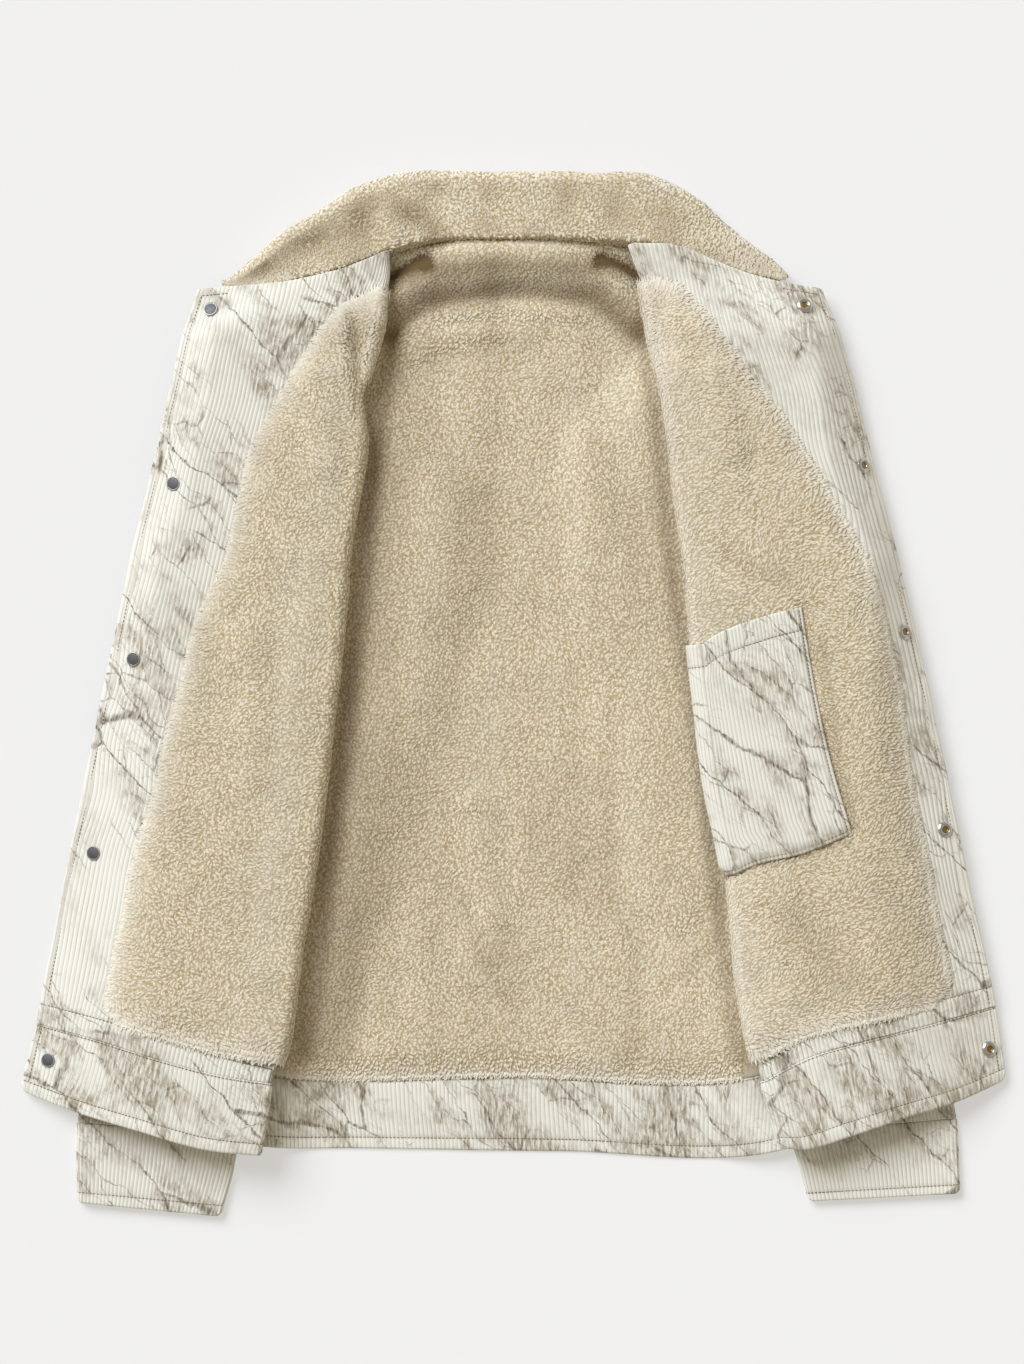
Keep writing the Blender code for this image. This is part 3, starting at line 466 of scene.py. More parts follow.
def back_height(x, y):
    """Height of the back's underside."""
    return sleeve_drape(x, y) + neck_roll(x, y) + soft_lines(BACK_FOLDS, x, y)


print("at the back of the neck:", back_height(0.0, NECK_Y), "mm up")

# %% A surface and its normals
def on_back(cut):
    """The surface that has a cut's plan and the height of the back's underside."""
    def middle(u, v):
        spot = cut(u, v)
        return raised(spot, back_height(spot[..., 0], spot[..., 1]))

    return middle


def lifted(middle, a, b, lift):
    """Points of the surface middle(a, b), moved out along its normals."""
    step = 0.004
    b_low, b_high = np.maximum(b - step, 0.0), np.minimum(b + step, 1.0)
    along_a = middle(a + step, b) - middle(a - step, b)
    along_b = middle(a, b_high) - middle(a, b_low)
    normal = unit(np.cross(along_a, along_b))
    normal = normal * np.where(normal[..., 2:] < 0, -1.0, 1.0)
    return middle(a, b) + normal * lift[..., None], normal

# %% The surface of a turned-back front
def front_surface(name, edges, placket_heights):
    """point(q, v, lift) on a front or its hem band, with its normals.

    q is -1 at the side seam, 0 under the fold, 1 on top of it and 2 at the placket. v is 0 at
    the neck end and 1 at the hem end.
    """
    front = FRONTS[name]
    side, folds = front["side"], FRONT_FOLDS[name]
    fold, placket, top, foot, under_side, under_top, under_foot = (
        curve(front[edge]) for edge in edges
    )
    upper = patch(fold, placket, top, foot)
    under = patch(fold, under_side, under_top, under_foot)
    shares, heights = zip(*placket_heights)

    def turned_height(u, v):
        x, y = np.moveaxis(upper(u, v), -1, 0)
        start = read_edge(BODY_EDGE, y) + DROOP_START
        rise = TURNED_RISE * ease(u / TURNED_RISE_RUN)
        height = back_height(np.minimum(np.abs(x), start) * side, y) + FRONT_MIDDLE + rise
        height = height + soft_lines(folds, x, y)
        span = np.maximum(np.abs(placket(v)[..., 0]) - start, 1.0)
        past = np.clip((np.abs(x) - start) / span, 0.0, 1.0)
        return height + (np.interp(v, shares, heights) - height) * past ** DROOP_POWER

    def upper_middle(u, v):
        return raised(upper(u, v), turned_height(np.maximum(u, 0.0), v))

    def under_middle(u, v):
        spot = under(u, v)
        return raised(spot, back_height(spot[..., 0], spot[..., 1]) + FRONT_MIDDLE)

    def round_fold(q, v, lift):
        run = fold(np.minimum(v + 0.01, 1.0)) - fold(np.maximum(v - 0.01, 0.0))
        inward = stacked(-side * np.abs(run[:, 1]), side * run[:, 0] * np.sign(run[:, 1]),
                         np.zeros(len(q)))
        angle = ((q - 0.5) * math.pi)[:, None]
        normal = unit(inward) * np.cos(angle) + np.array([0.0, 0.0, 1.0]) * np.sin(angle)
        share, nothing = q[:, None], np.zeros(len(q))
        middle = upper_middle(nothing, v) * share + under_middle(nothing, v) * (1 - share)
        return middle + normal * lift[:, None], normal

    def point(q, v, lift):
        q, v, lift = (np.array(part, float) for part in np.broadcast_arrays(q, v, lift))
        spots, normals = np.empty((2,) + q.shape + (3,))
        top_part, under_part = q > 1, q < 0
        turn = ~(top_part | under_part)
        spots[top_part], normals[top_part] = lifted(
            upper_middle, q[top_part] - 1, v[top_part], lift[top_part])
        a, b = -q[under_part], v[under_part]
        spot, normal = lifted(under_middle, a, b, lift[under_part])
        spots[under_part], normals[under_part] = 2 * under_middle(a, b) - spot, -normal
        spots[turn], normals[turn] = round_fold(q[turn], v[turn], lift[turn])
        return spots, normals

    return point, upper

# %% Both fronts' surfaces
def front_width(plan_at, v):
    """A front's width from its fold to its placket, at shares v of its length."""
    ends = plan_at(np.ones(np.shape(v)), v) - plan_at(np.zeros(np.shape(v)), v)
    return np.linalg.norm(ends, axis=-1)


front_points, front_plans, band_points, band_widths = {}, {}, {}, {}
for name in FRONTS:
    front_points[name], front_plans[name] = front_surface(
        name, FRONT_EDGES, PLACKET_EDGE_HEIGHT[name])
    band_points[name], band_plan = front_surface(name, BAND_EDGES, BAND_EDGE_HEIGHT[name])
    band_widths[name] = front_width(band_plan, np.array(0.5))
middle_spot, _ = front_points["left"]([1.5], [0.5], 0.0)
print("left front, halfway:", middle_spot.round(1))

# %% [markdown]
# ## Helpers for cloth
# Real cloth is never even, so a little soft noise goes into most shapes. Every sheet starts as a
# grid whose points are moved onto its surface. A cloth simulation could drape it too, but the
# panels have their places already, and a grid keeps the wales in line. A Weld closes the columns
# that run together at an edge, and a Solidify gives the sheet its thickness. The UV map holds
# metres across the wales and along them, so that a pattern follows the cloth.

# %% Noise
def soft_noise(x, y, size, seed):
    """Smooth random relief from -1 to 1 whose lumps are about size across."""
    table = np.random.default_rng(seed).uniform(-1.0, 1.0, (64, 64))
    column, row = np.floor(x / size).astype(int), np.floor(y / size).astype(int)
    s, t = ease(x / size - column), ease(y / size - row)

    def line(row):
        return table[row % 64, column % 64] * (1 - s) + table[row % 64, (column + 1) % 64] * s

    return line(row) * (1 - t) + line(row + 1) * t


print("noise at four places:", soft_noise(np.arange(4) * 5.0, np.zeros(4), 10.0, 1).round(2))

# %% Pieces and sheets
def put(name, mesh, finish, node=None):
    """Link a mesh as a piece of the jacket that rides on its one body."""
    piece = new_object(name, mesh)
    mesh.materials.append(finish)
    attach(piece, "root")
    if node:
        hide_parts(node)
    return piece


def store(mesh, values):
    """Give a mesh's points values that its finish reads, by name."""
    for key, table in values.items():
        mesh.attributes.new(key, "FLOAT", "POINT").data.foreach_set(
            "value", table.astype(np.float32))


def cloth_sheet(name, surface, cloth_marks, thickness, finish, node, values=None):
    """A sheet of cloth: a grid moved onto a surface, with a wall and values for its finish."""
    spots, normals = surface
    rows, columns = spots.shape[0] - 1, spots.shape[1] - 1
    grid = bmesh.new()
    bmesh.ops.create_grid(grid, x_segments=columns, y_segments=rows, size=1.0)
    mesh = bpy.data.meshes.new(name)
    grid.to_mesh(mesh)
    grid.free()
    flat = np.empty(len(mesh.vertices) * 3, np.float32)
    mesh.vertices.foreach_get("co", flat)
    flat = flat.reshape(-1, 3)
    i = np.rint((flat[:, 0] + 1) / 2 * columns).astype(int)
    j = np.rint((1 - flat[:, 1]) / 2 * rows).astype(int)
    mesh.vertices.foreach_set("co", (spots[j, i] * MM).astype(np.float32).ravel())
    corners = np.empty(len(mesh.loops), np.int32)
    mesh.loops.foreach_get("vertex_index", corners)
    marks = (cloth_marks[j, i] * MM).astype(np.float32)[corners]
    mesh.uv_layers.new(name="cloth").data.foreach_set("uv", marks.ravel())
    store(mesh, {key: table[j, i] for key, table in (values or {}).items()})
    mesh.update()
    areas = np.cross(np.diff(spots[:, :-1], axis=0), np.diff(spots[:-1], axis=1))
    if (areas * normals[:-1, :-1]).sum() < 0:
        mesh.flip_normals()
    mesh.shade_smooth()
    piece = put(name, mesh, finish, node)
    weld = piece.modifiers.new("weld", "WELD")
    weld.merge_threshold = 0.02 * MM
    wall = piece.modifiers.new("wall", "SOLIDIFY")
    wall.thickness = thickness * MM
    wall.offset = -1.0
    print(f"{name}: {np.linalg.norm(areas, axis=-1).sum() / 1e6:.4f} m2 of cloth,",
          rows * columns, "cells")
    return piece

# %% [markdown]
# ## Corduroy's finish
# The corduroy is printed like veined marble: fine grey-taupe lines with a few smudges, broken up
# by the wales. An image could be laid on it as well, but nodes make a pattern that is sharp at
# any distance. Its lines are the borders between the cells of a Voronoi texture, stretched
# along one slanting direction. Two noises push them about, so that no line is straight, and a
# third says where they fade. The grooves between wales are darker, as less light reaches them.

# %% Maths nodes
def add_node(tree, kind, settings=None, **inputs):
    """A node with its settings, and its inputs linked or set."""
    node = tree.nodes.new(kind)
    for key, value in (settings or {}).items():
        setattr(node, key, value)
    fill_inputs(node, **inputs)
    return node


def maths(operation, *values):
    """A Math node's result, in the tree that its first input comes from."""
    tree = next(value.id_data for value in values if isinstance(value, bpy.types.NodeSocket))
    inputs = {f"i{k}": value for k, value in enumerate(values)}
    return add_node(tree, "ShaderNodeMath", {"operation": operation}, **inputs).outputs[0]


def times(a, b):
    return maths("MULTIPLY", a, b)


def times_plus(a, b, c):
    """a * b + c"""
    return maths("MULTIPLY_ADD", a, b, c)


def vector_maths(operation, place, **inputs):
    node = add_node(place.id_data, "ShaderNodeVectorMath", {"operation": operation}, i0=place,
                    **inputs)
    return node.outputs["Value" if operation == "DISTANCE" else "Vector"]

# %% Nodes for patterns and colours
def ramp(value, low, high):
    """0 at low and 1 at high, with soft ends."""
    node = add_node(value.id_data, "ShaderNodeMapRange", {"interpolation_type": "SMOOTHSTEP"},
                    Value=value, From_Min=low, From_Max=high)
    return node.outputs[0]


def noise(place, scale, detail=2.0, roughness=0.5, output="Fac"):
    node = add_node(place.id_data, "ShaderNodeTexNoise", None, Vector=place, Scale=scale,
                    Detail=detail, Roughness=roughness)
    return node.outputs[output]


def blend_colour(share, first, second):
    node = add_node(share.id_data, "ShaderNodeMix", {"data_type": "RGBA", "clamp_factor": True},
                    i0=share, i6=first, i7=second)
    return node.outputs[2]


def object_place(tree):
    """Each point's own place, in metres."""
    return add_node(tree, "ShaderNodeTexCoord").outputs["Object"]


def painted(tree, name):
    """A value that a piece's points carry."""
    return add_node(tree, "ShaderNodeAttribute", {"attribute_name": name}).outputs["Fac"]


def axes_of(place):
    return add_node(place.id_data, "ShaderNodeSeparateXYZ", None, Vector=place).outputs


def bump(height, strength, distance):
    """A normal from a height, with the distance in mm."""
    node = add_node(height.id_data, "ShaderNodeBump", None, Height=height, Strength=strength,
                    Distance=distance * MM)
    return node.outputs[0]

# %% The print's colours and sizes
WALE = 3.2  # mm from wale to wale
CLOTH_WHITE = (0.830, 0.822, 0.742)
CLOTH_GROOVE = (0.470, 0.430, 0.310)
VEIN_DARK = (0.160, 0.130, 0.090)
SMUDGE = (0.350, 0.300, 0.215)
STITCH_PAINTED_SHADE = (0.300, 0.240, 0.150)  # painted shade beside the stitches, where the pressed cloth sinks into a channel
VEIN_SLANT = math.radians(40)  # the veins run down to the right, this far off the vertical
# columns: cells in a metre, how long they are for their width, half width of a line in mm,
# scale of its fading, faded to, full from, strength
VEINS = [
    (26.0, 4.5, 1.0, 13.0, 0.45, 0.54, 1.0), (62.0, 3.2, 0.50, 18.0, 0.49, 0.59, 0.8),
    (150.0, 2.2, 0.34, 26.0, 0.55, 0.66, 0.45),
]
# where the print grows denser or sparser; columns: axis (0 is x, 1 is y), from and to in metres,
# amount
CLUSTERS = [(1, -0.20, -0.26, 0.030), (1, -0.275, -0.30, 0.022), (1, -0.345, -0.365, -0.077),
            (1, 0.16, 0.24, 0.030)]
# the same round a place; columns: x, y, reach in metres, amount
SPOTS = [(0.02, -0.315, 0.15, 0.07), (-0.20, 0.25, 0.07, 0.03), (0.19, -0.03, 0.10, -0.03),
         (-0.28, 0.02, 0.06, -0.02), (-0.26, -0.31, 0.09, -0.025), (0.28, -0.29, 0.10, 0.02)]
BUMP_HEIGHT = 0.35  # mm
NAP_SCALE = 1500.0
STREAKS = (1.0, 0.22, 1.0)  # the print breaks up into streaks along the wales
print("veins of", len(VEINS), "sizes")

# %% Veins
def turned_place(place, stretch):
    """Coordinates turned so that the veins run along y, and squeezed that way."""
    node = add_node(place.id_data, "ShaderNodeMapping", {"vector_type": "TEXTURE"}, Vector=place,
                    Rotation=(0.0, 0.0, VEIN_SLANT), Scale=(1.0, stretch, 1.0))
    return node.outputs[0]


def warped(place, scale, reach, detail):
    """A place pushed about by a noise, up to reach metres."""
    push = noise(place, scale, detail, 0.6, "Color")
    return vector_maths("MULTIPLY_ADD", push, i1=(reach, reach, 0.0), i2=place)


def print_density(place):
    """How much denser the print is here than elsewhere."""
    axes = axes_of(place)
    more = times_plus(noise(place, 9.0, 1.0), 0.20, -0.10)
    for axis, begin, end, amount in CLUSTERS:
        more = times_plus(ramp(axes[axis], begin, end), amount, more)
    level = vector_maths("MULTIPLY", place, i1=(1.0, 1.0, 0.0))
    for x, y, reach, amount in SPOTS:
        away = vector_maths("DISTANCE", level, i1=(x, y, 0.0))
        more = times_plus(ramp(away, reach, 0.0), amount, more)
    return more


def vein_lines(place, bent, more):
    """The veins of all sizes, and the haze close to them."""
    veins, haze = None, None
    for cells, stretch, half, fade_scale, low, high, strength in VEINS:
        lines = add_node(place.id_data, "ShaderNodeTexVoronoi",
                         {"feature": "DISTANCE_TO_EDGE", "voronoi_dimensions": "2D"},
                         Vector=turned_place(bent, stretch), Scale=cells).outputs["Distance"]
        spread = noise(turned_place(place, 1.6), fade_scale)
        where = ramp(maths("ADD", spread, more), low, high)
        width = times_plus(noise(place, 90.0), 3.2 * half * cells * MM,
                           -0.6 * half * cells * MM)
        vein = times(ramp(maths("DIVIDE", lines, width), 1.0, 0.2), times(where, strength))
        near = times(ramp(lines, 0.009 * cells, 0.0), where)
        veins = vein if veins is None else maths("MAXIMUM", veins, vein)
        haze = near if haze is None else maths("MAXIMUM", haze, near)
    return veins, haze

# %% Marbled corduroy
def corduroy_finish(name, modelled_wales):
    """Printed corduroy. Plain sheets get their wales from bump alone."""
    finish, tree, shader = new_finish(name, Roughness=0.93, Sheen_Weight=0.2, Sheen_Roughness=0.5)
    cloth = add_node(tree, "ShaderNodeUVMap", {"uv_map": "cloth"}).outputs[0]
    place = object_place(tree)

    crown = maths("ABSOLUTE", maths("SINE", times(axes_of(cloth)[0], math.pi / (WALE * MM))))
    groove = times(ramp(crown, 0.62, 0.05), times_plus(noise(place, 45.0), 1.2, 0.15))

    bent = warped(warped(place, 20.0, 0.022, 2.0), 150.0, 0.0050, 3.0)
    streaks = add_node(tree, "ShaderNodeMapping", None, Vector=cloth, Scale=STREAKS).outputs[0]
    grain = ramp(noise(streaks, 480.0, 3.0, 0.6), 0.40, 0.60)
    more = print_density(place)
    veins, haze = vein_lines(place, bent, more)
    veins = times(veins, times_plus(grain, 0.55, 0.45))
    cloud = noise(turned_place(bent, 2.2), 44.0, 5.0, 0.62)
    cloud = ramp(maths("ADD", cloud, more), 0.47, 0.62)
    smudges = times(times_plus(haze, 0.75, 0.25), times(cloud, times_plus(grain, 0.8, 0.2)))
    printed = maths("SUBTRACT", 1.0, times(groove, 0.45))

    colour = blend_colour(times(groove, 0.8), CLOTH_WHITE, CLOTH_GROOVE)
    colour = blend_colour(times(smudges, printed), colour, SMUDGE)
    colour = blend_colour(times(veins, printed), colour, VEIN_DARK)
    # Painted shade along the stitched channels and at the seams.
    colour = blend_colour(times(painted(tree, "sewn"), 0.3), colour, STITCH_PAINTED_SHADE)

    height = times(noise(place, NAP_SCALE), 0.25)
    if not modelled_wales:
        height = maths("ADD", height, crown)
    fill_inputs(shader, Base_Color=colour, Normal=bump(height, 0.8, BUMP_HEIGHT))
    print(name + ":", len(tree.nodes), "nodes")
    return finish


corduroy = corduroy_finish("marbled corduroy", True)
plain_corduroy = corduroy_finish("marbled corduroy, flat side", False)

# %% [markdown]
# ## Sherpa's finish
# Sherpa is a knit with a tall curled pile. Down between the curls it is a deeper gold, because
# light bounces from fibre to fibre, and the tips are nearly cream. One colour would look like
# felt, so the modelled curls carry values that it is mixed from: tip is 0 at the root and 1 at
# the crown, shade differs from curl to curl, and pale goes from -1, for shade painted deep in a
# fold, a pit or a fold's shadow, to 1 where the pile thins out over an edge. Its values above 0
# also paint highlights on the rolls of folds and on lit ridges.

# %% Sherpa
SHERPA_PAINTED_SHADE = (0.145, 0.088, 0.032)  # painted shade in the seams, the deepest folds and the folds' shadows
SHERPA_ROOT = (0.400, 0.290, 0.130)
SHERPA_MIDDLE = (0.680, 0.595, 0.425)
SHERPA_TIP = (0.790, 0.730, 0.595)
SHERPA_PALE_AND_HIGHLIGHT = (0.850, 0.810, 0.700)  # where the pile is thin and lies over an edge, and painted highlight on rolls and lit ridges


def sherpa_finish(name, is_curl):
    """The pile's colour: from root to tip on a curl, or that of the ground between curls."""
    finish, tree, shader = new_finish(name, Roughness=0.95, Sheen_Weight=0.12, Sheen_Roughness=0.6)
    place = object_place(tree)
    broad = ramp(noise(place, 28.0), 0.3, 0.7)
    fine = noise(place, 700.0, 3.0)
    if is_curl:
        tip, shade = painted(tree, "tip"), painted(tree, "shade")
        colour = blend_colour(ramp(tip, 0.0, 0.55), SHERPA_ROOT, SHERPA_MIDDLE)
        colour = blend_colour(ramp(tip, 0.35, 1.0), colour, SHERPA_TIP)
        level = times_plus(shade, 0.16, 0.90)
    else:
        colour = blend_colour(ramp(fine, 0.3, 0.7), SHERPA_ROOT, SHERPA_MIDDLE)
        level = 0.95
    # Above 0, pale makes the pile lighter, where it thins and as a painted highlight; below 0 it
    # mixes in painted shade.
    pale = painted(tree, "pale")
    colour = blend_colour(times(pale, 0.9), colour, SHERPA_PALE_AND_HIGHLIGHT)
    colour = blend_colour(times(pale, -1.0), colour, SHERPA_PAINTED_SHADE)
    level = times(level, times_plus(broad, 0.08, 0.96))
    fill_inputs(shader, Base_Color=vector_maths("SCALE", colour, Scale=level))
    if not is_curl:
        fill_inputs(shader, Normal=bump(fine, 0.5, 0.4))
    print(name + ":", len(tree.nodes), "nodes")
    return finish


pile_ground = sherpa_finish("sherpa ground", False)
pile_curl = sherpa_finish("sherpa curls", True)

# %% [markdown]
# ## Curls
# One curl is a low, bent dome: a ring of four points, extruded to a ridge of two. Hair could
# make the pile too, but it isn't a mesh, so an export would lose it. A curl has only eight
# triangles, because the jacket has tens of thousands. They stand on a lattice that follows the
# cloth and lie the way it was combed, each a little out of place and turned by chance.

# %% One curl
# columns: aside, along and up, as shares of its size, and 0 for gold to 1 for pale
CURL_OUTLINE = [(0.50, 0.42, 0.0, 0.15), (-0.16, 1.0, 0.1, 0.35), (-0.44, 0.50, 0.0, 0.15),
                (-0.04, 0.0, -0.25, 0.0)]
CURL_RIDGE = [(0.05, 0.32, 1.0, 1.0), (-0.07, 0.72, 0.85, 1.0)]
CURL_MIDDLE = 0.35  # share of its length that lies behind its place


def points_and_faces(built):
    """A small shape's points and triangles, out of its bmesh, which ends here."""
    built.verts.index_update()
    points = np.array([vert.co for vert in built.verts])
    faces = np.array([[vert.index for vert in face.verts] for face in built.faces])
    built.free()
    return points, faces


def curl_template():
    """A curl's points and triangles, and how pale each point is."""
    curl = bmesh.new()
    ring = bmesh.ops.create_circle(curl, cap_ends=True, segments=4, radius=0.5)["verts"]
    new = bmesh.ops.extrude_edge_only(curl, edges=curl.edges[:])["geom"]
    crown = [part for part in new if isinstance(part, bmesh.types.BMVert)]
    quarter = {vert: round(math.atan2(vert.co.y, vert.co.x) / (math.pi / 2)) % 4
               for vert in ring + crown}
    places = {vert: CURL_OUTLINE[quarter[vert]] for vert in ring}
    places.update({vert: CURL_RIDGE[quarter[vert] == 1] for vert in crown})
    for vert, (aside, along, high, _) in places.items():
        vert.co = (aside, along, high)
    bmesh.ops.remove_doubles(curl, verts=crown, dist=1e-4)
    bmesh.ops.triangulate(curl, faces=curl.faces)
    bmesh.ops.recalc_face_normals(curl, faces=curl.faces)
    if curl.calc_volume(signed=True) < 0:
        bmesh.ops.reverse_faces(curl, faces=curl.faces)
    tips = np.array([places[vert][3] for vert in curl.verts])
    return *points_and_faces(curl), tips


CURL_POINTS, CURL_FACES, CURL_TIPS = curl_template()
print("a curl:", len(CURL_POINTS), "points and", len(CURL_FACES), "triangles")

# %% Places for curls
def part_of(tables, at):
    """The same rows and columns of every table."""
    return {key: table[at] for key, table in tables.items()}


def lattice(tables, pitch, seed):
    """Places about pitch apart all over a sheet, and what its tables hold there."""
    spots = tables["spots"]
    draw = np.random.default_rng(seed)
    rows, columns = spots.shape[0] - 1, spots.shape[1] - 1
    down = np.linalg.norm(np.diff(spots, axis=0), axis=2)
    reach = np.concatenate([[0.0], np.cumsum(down.max(1))])
    count = int(reach[-1] / pitch)
    found = []
    for k in range(count):
        row = np.interp((k + 0.5) / count * reach[-1], reach, np.arange(rows + 1))
        j = min(int(row), rows - 1)
        line = spots[j] * (1 - row + j) + spots[j + 1] * (row - j)
        lengths = np.concatenate([[0], np.cumsum(np.linalg.norm(np.diff(line, axis=0), axis=1))])
        number = max(int(lengths[-1] / pitch), 1)
        targets = (np.arange(number) + 0.5 * (k % 2) + 0.25) / number * lengths[-1]
        targets = targets + draw.uniform(-0.4, 0.4, number) * pitch
        column = np.interp(targets, lengths, np.arange(columns + 1))
        jitter = draw.uniform(-0.4, 0.4, number) * pitch / max(down[j].max(), 1e-6)
        found.append(stacked(column, row + jitter))
    found = np.concatenate(found)
    column, row = np.clip(found, 0, (columns - 1e-6, rows - 1e-6)).T
    i, j = column.astype(int), row.astype(int)

    def read(table):
        shape = (len(i),) + (1,) * (table.ndim - 2)
        s, t = (column - i).reshape(shape), (row - j).reshape(shape)
        near = table[j, i] * (1 - s) + table[j, i + 1] * s
        far = table[j + 1, i] * (1 - s) + table[j + 1, i + 1] * s
        return near * (1 - t) + far * t

    return {key: read(table) for key, table in tables.items()}

# %% Many curls
def copies_mesh(name, points, faces):
    """One mesh of many copies, from each one's points in mm and its triangles."""
    number, each = points.shape[:2]
    faces = faces + (np.arange(number) * each)[:, None, None]
    mesh = bpy.data.meshes.new(name)
    mesh.vertices.add(number * each)
    mesh.vertices.foreach_set("co", (points * MM).astype(np.float32).ravel())
    mesh.loops.add(faces.size)
    mesh.loops.foreach_set("vertex_index", faces.astype(np.int32).ravel())
    mesh.polygons.add(faces.size // 3)
    mesh.polygons.foreach_set("loop_start", np.arange(0, faces.size, 3, dtype=np.int32))
    mesh.update(calc_edges=True)
    mesh.shade_smooth()
    return mesh


def curls(name, places, size, scatter, seed):
    """Thousands of curls as one mesh. size is a curl's width, length and height in mm."""
    draw = np.random.default_rng(seed)
    spots, normals, border = places["spots"], unit(places["normals"]), places["border"]
    number = len(spots)
    along = unit(places["comb"] - normals * (places["comb"] * normals).sum(1, keepdims=True))
    side = np.cross(along, normals)
    mirrored = draw.uniform(0, 1, number) < 0.5
    turn = (draw.normal(0.0, scatter, number) * (1 - 0.7 * border))[:, None]
    along, side = (along * np.cos(turn) + side * np.sin(turn),
                   side * np.cos(turn) - along * np.sin(turn))
    side = np.where(mirrored[:, None], -side, side)
    width = size[0] * draw.uniform(0.75, 1.25, number)
    length = size[1] * draw.uniform(0.7, 1.25, number) * (1 + 0.4 * border)
    height = size[2] * draw.uniform(0.65, 1.2, number) * (1 - 0.6 * border)
    aside, ahead, high = CURL_POINTS.T
    axes = ((side, aside, width), (along, ahead - CURL_MIDDLE, length), (normals, high, height))
    offsets = sum(way[:, None, :] * (share * size[:, None])[..., None] for way, share, size in axes)
    faces = np.where(mirrored[:, None, None], CURL_FACES[None, :, ::-1], CURL_FACES[None])
    mesh, per_curl = copies_mesh(name, spots[:, None, :] + offsets, faces), len(CURL_POINTS)
    ends = np.empty(len(mesh.edges) * 2, np.int32)
    mesh.edges.foreach_get("vertices", ends)
    sharp = ~(CURL_TIPS > 0.9)[ends.reshape(-1, 2) % per_curl].any(axis=1)
    mesh.attributes.new("sharp_edge", "BOOLEAN", "EDGE").data.foreach_set("value", sharp)
    store(mesh, {"tip": np.tile(CURL_TIPS, number),
                 "shade": np.repeat(draw.uniform(0, 1, number), per_curl),
                 "pale": np.repeat(np.clip(places["pale"], -1, 1), per_curl)})
    print(name + ":", number, "curls,", len(mesh.polygons), "triangles")
    return put(name, mesh, pile_curl)

# %% The pile's height and its edges
CURL_STAND = 0.7  # mm from a lining's ground sheet to its tips
CURL_PITCH = 2.85
FRINGE_PITCH = 1.4
FRINGE_SIZE = (2.5, 2.7, 0.9)
EDGE_GAP = -2.5  # mm from the pile's cut edge to the facing, which it overlaps
RIM = 22.0  # the pile slopes down to its edge over this
BACKING = 2.1  # and is this thick there, over a facing
BACK_BACKING = 1.0  # or over the back's hem band
EDGE_DIVE = 1.0  # its last row goes down to the cloth beside it


def rim_share(distance):
    """How much of its height the pile has, this far in from its cut edge."""
    inside = np.clip(distance / RIM, 0.0, 1.0)
    return np.sin(inside * math.pi / 2)


def pile_relief(x, y, seed):
    """The unevenness of the pile's surface."""
    return 0.4 * soft_noise(x, y, 9.0, seed) + 0.5 * soft_noise(x, y, 26.0, seed + 1)


def fringe(name, tables, seed):
    """Thin pale tufts along a cut edge, lying outward over the cloth beside it."""
    tables = dict(tables)
    facing_light = (unit(tables["comb"]) @ np.array(SUN_FROM))[..., None]
    tables["normals"] = unit(tables["normals"]) + (0.08 + 0.3 * facing_light) * unit(tables["comb"])
    tables["border"] = tables["pale"] = np.ones(tables["border"].shape)
    return curls(name, lattice(tables, FRINGE_PITCH, seed), FRINGE_SIZE, 1.0, seed + 1)


def comb_table(angle):
    """The way that the pile is combed, from its angle in plan."""
    return stacked(np.cos(angle), np.sin(angle), np.zeros(np.shape(angle)))

# %% [markdown]
# ## The back lining
# The back's lining is the largest piece of sherpa. It lies over the sleeves and rises in a roll
# at the neck. Its ground sheet is a little below the solid's top, and the curls fill the rest,
# but only where it shows between the fronts. Wrinkles are long, soft pits and ridges in the
# sheet. They are shallow, so shade is also painted into the curls there, as are the shadows
# that the fronts' folds cast on the back; a few lit ridges get a painted highlight.

# %% The back lining's wrinkles
BACK_FOOT = 0.9995
BACK_LENGTH = 610.0
# columns: points, height, half width
BACK_CREASES = [
    ([(-104, 259), (-58, 287), (1, 290.6), (60, 286)], 1.6, 13),
    ([(-98, 309), (-82, 317), (-66, 325)], -3.6, 12),
    ([(66, 326), (82, 320), (98, 311)], -3.6, 12),
    ([(-96, 330), (-60, 336)], 1.4, 9), ([(62, 337), (94, 333)], 1.4, 9),
    ([(-82, 239), (-52.5, 256), (-9, 264)], -1.6, 12),
    ([(76.5, 200.6), (81.8, 132.4)], -1.2, 14),
    ([(-31.5, -94), (-21.8, -178)], -1.2, 14),
    ([(157, -149), (133.5, -180)], -1.2, 12),
    ([(165, -209), (136, -248)], -1.2, 12),
]
# painted shade on the neck's slope, in its pits and in the shadows of the fronts' folds, and
# painted highlight where the amount is below 0; columns: points, amount, half width
BACK_PAINTED_SHADE = [
    ([(-96, 271), (-70, 301), (0, 310), (66, 303), (90, 273)], 0.63, 19),
    ([(-62, 321), (0, 327), (60, 322)], 0.44, 9),
    ([(-58, 333), (0, 337), (56, 334)], -0.25, 4),
    ([(-96, 309), (-80, 318), (-66, 325)], 1.30, 11), ([(66, 326), (80, 321), (98, 311)], 1.30, 11),
    ([(-88, 270), (-96, 231), (-110, 111), (-116, 41), (-128, -59), (-141, -169), (-156, -270)],
     0.48, 12),
    ([(-80, 231), (-94, 111), (-100, 41), (-112, -59), (-125, -169), (-140, -270)], 0.23, 30),
    ([(97, 281), (106, 211), (113, 141), (118, 103), (133, -4), (154, -154), (161, -214),
      (170, -274)], 0.40, 10),
    ([(-38, -150), (-22, -200), (2, -236)], 0.14, 9), ([(160, -144), (150, -189), (116, -219)],
                                                      0.19, 10),
    ([(64, 190), (60, 100), (66, 20)], 0.09, 9), ([(34, 150), (38, 20), (30, -90)], 0.07, 8),
]
print("wrinkles:", len(BACK_CREASES), "in the shape and", len(BACK_PAINTED_SHADE), "in the colour")

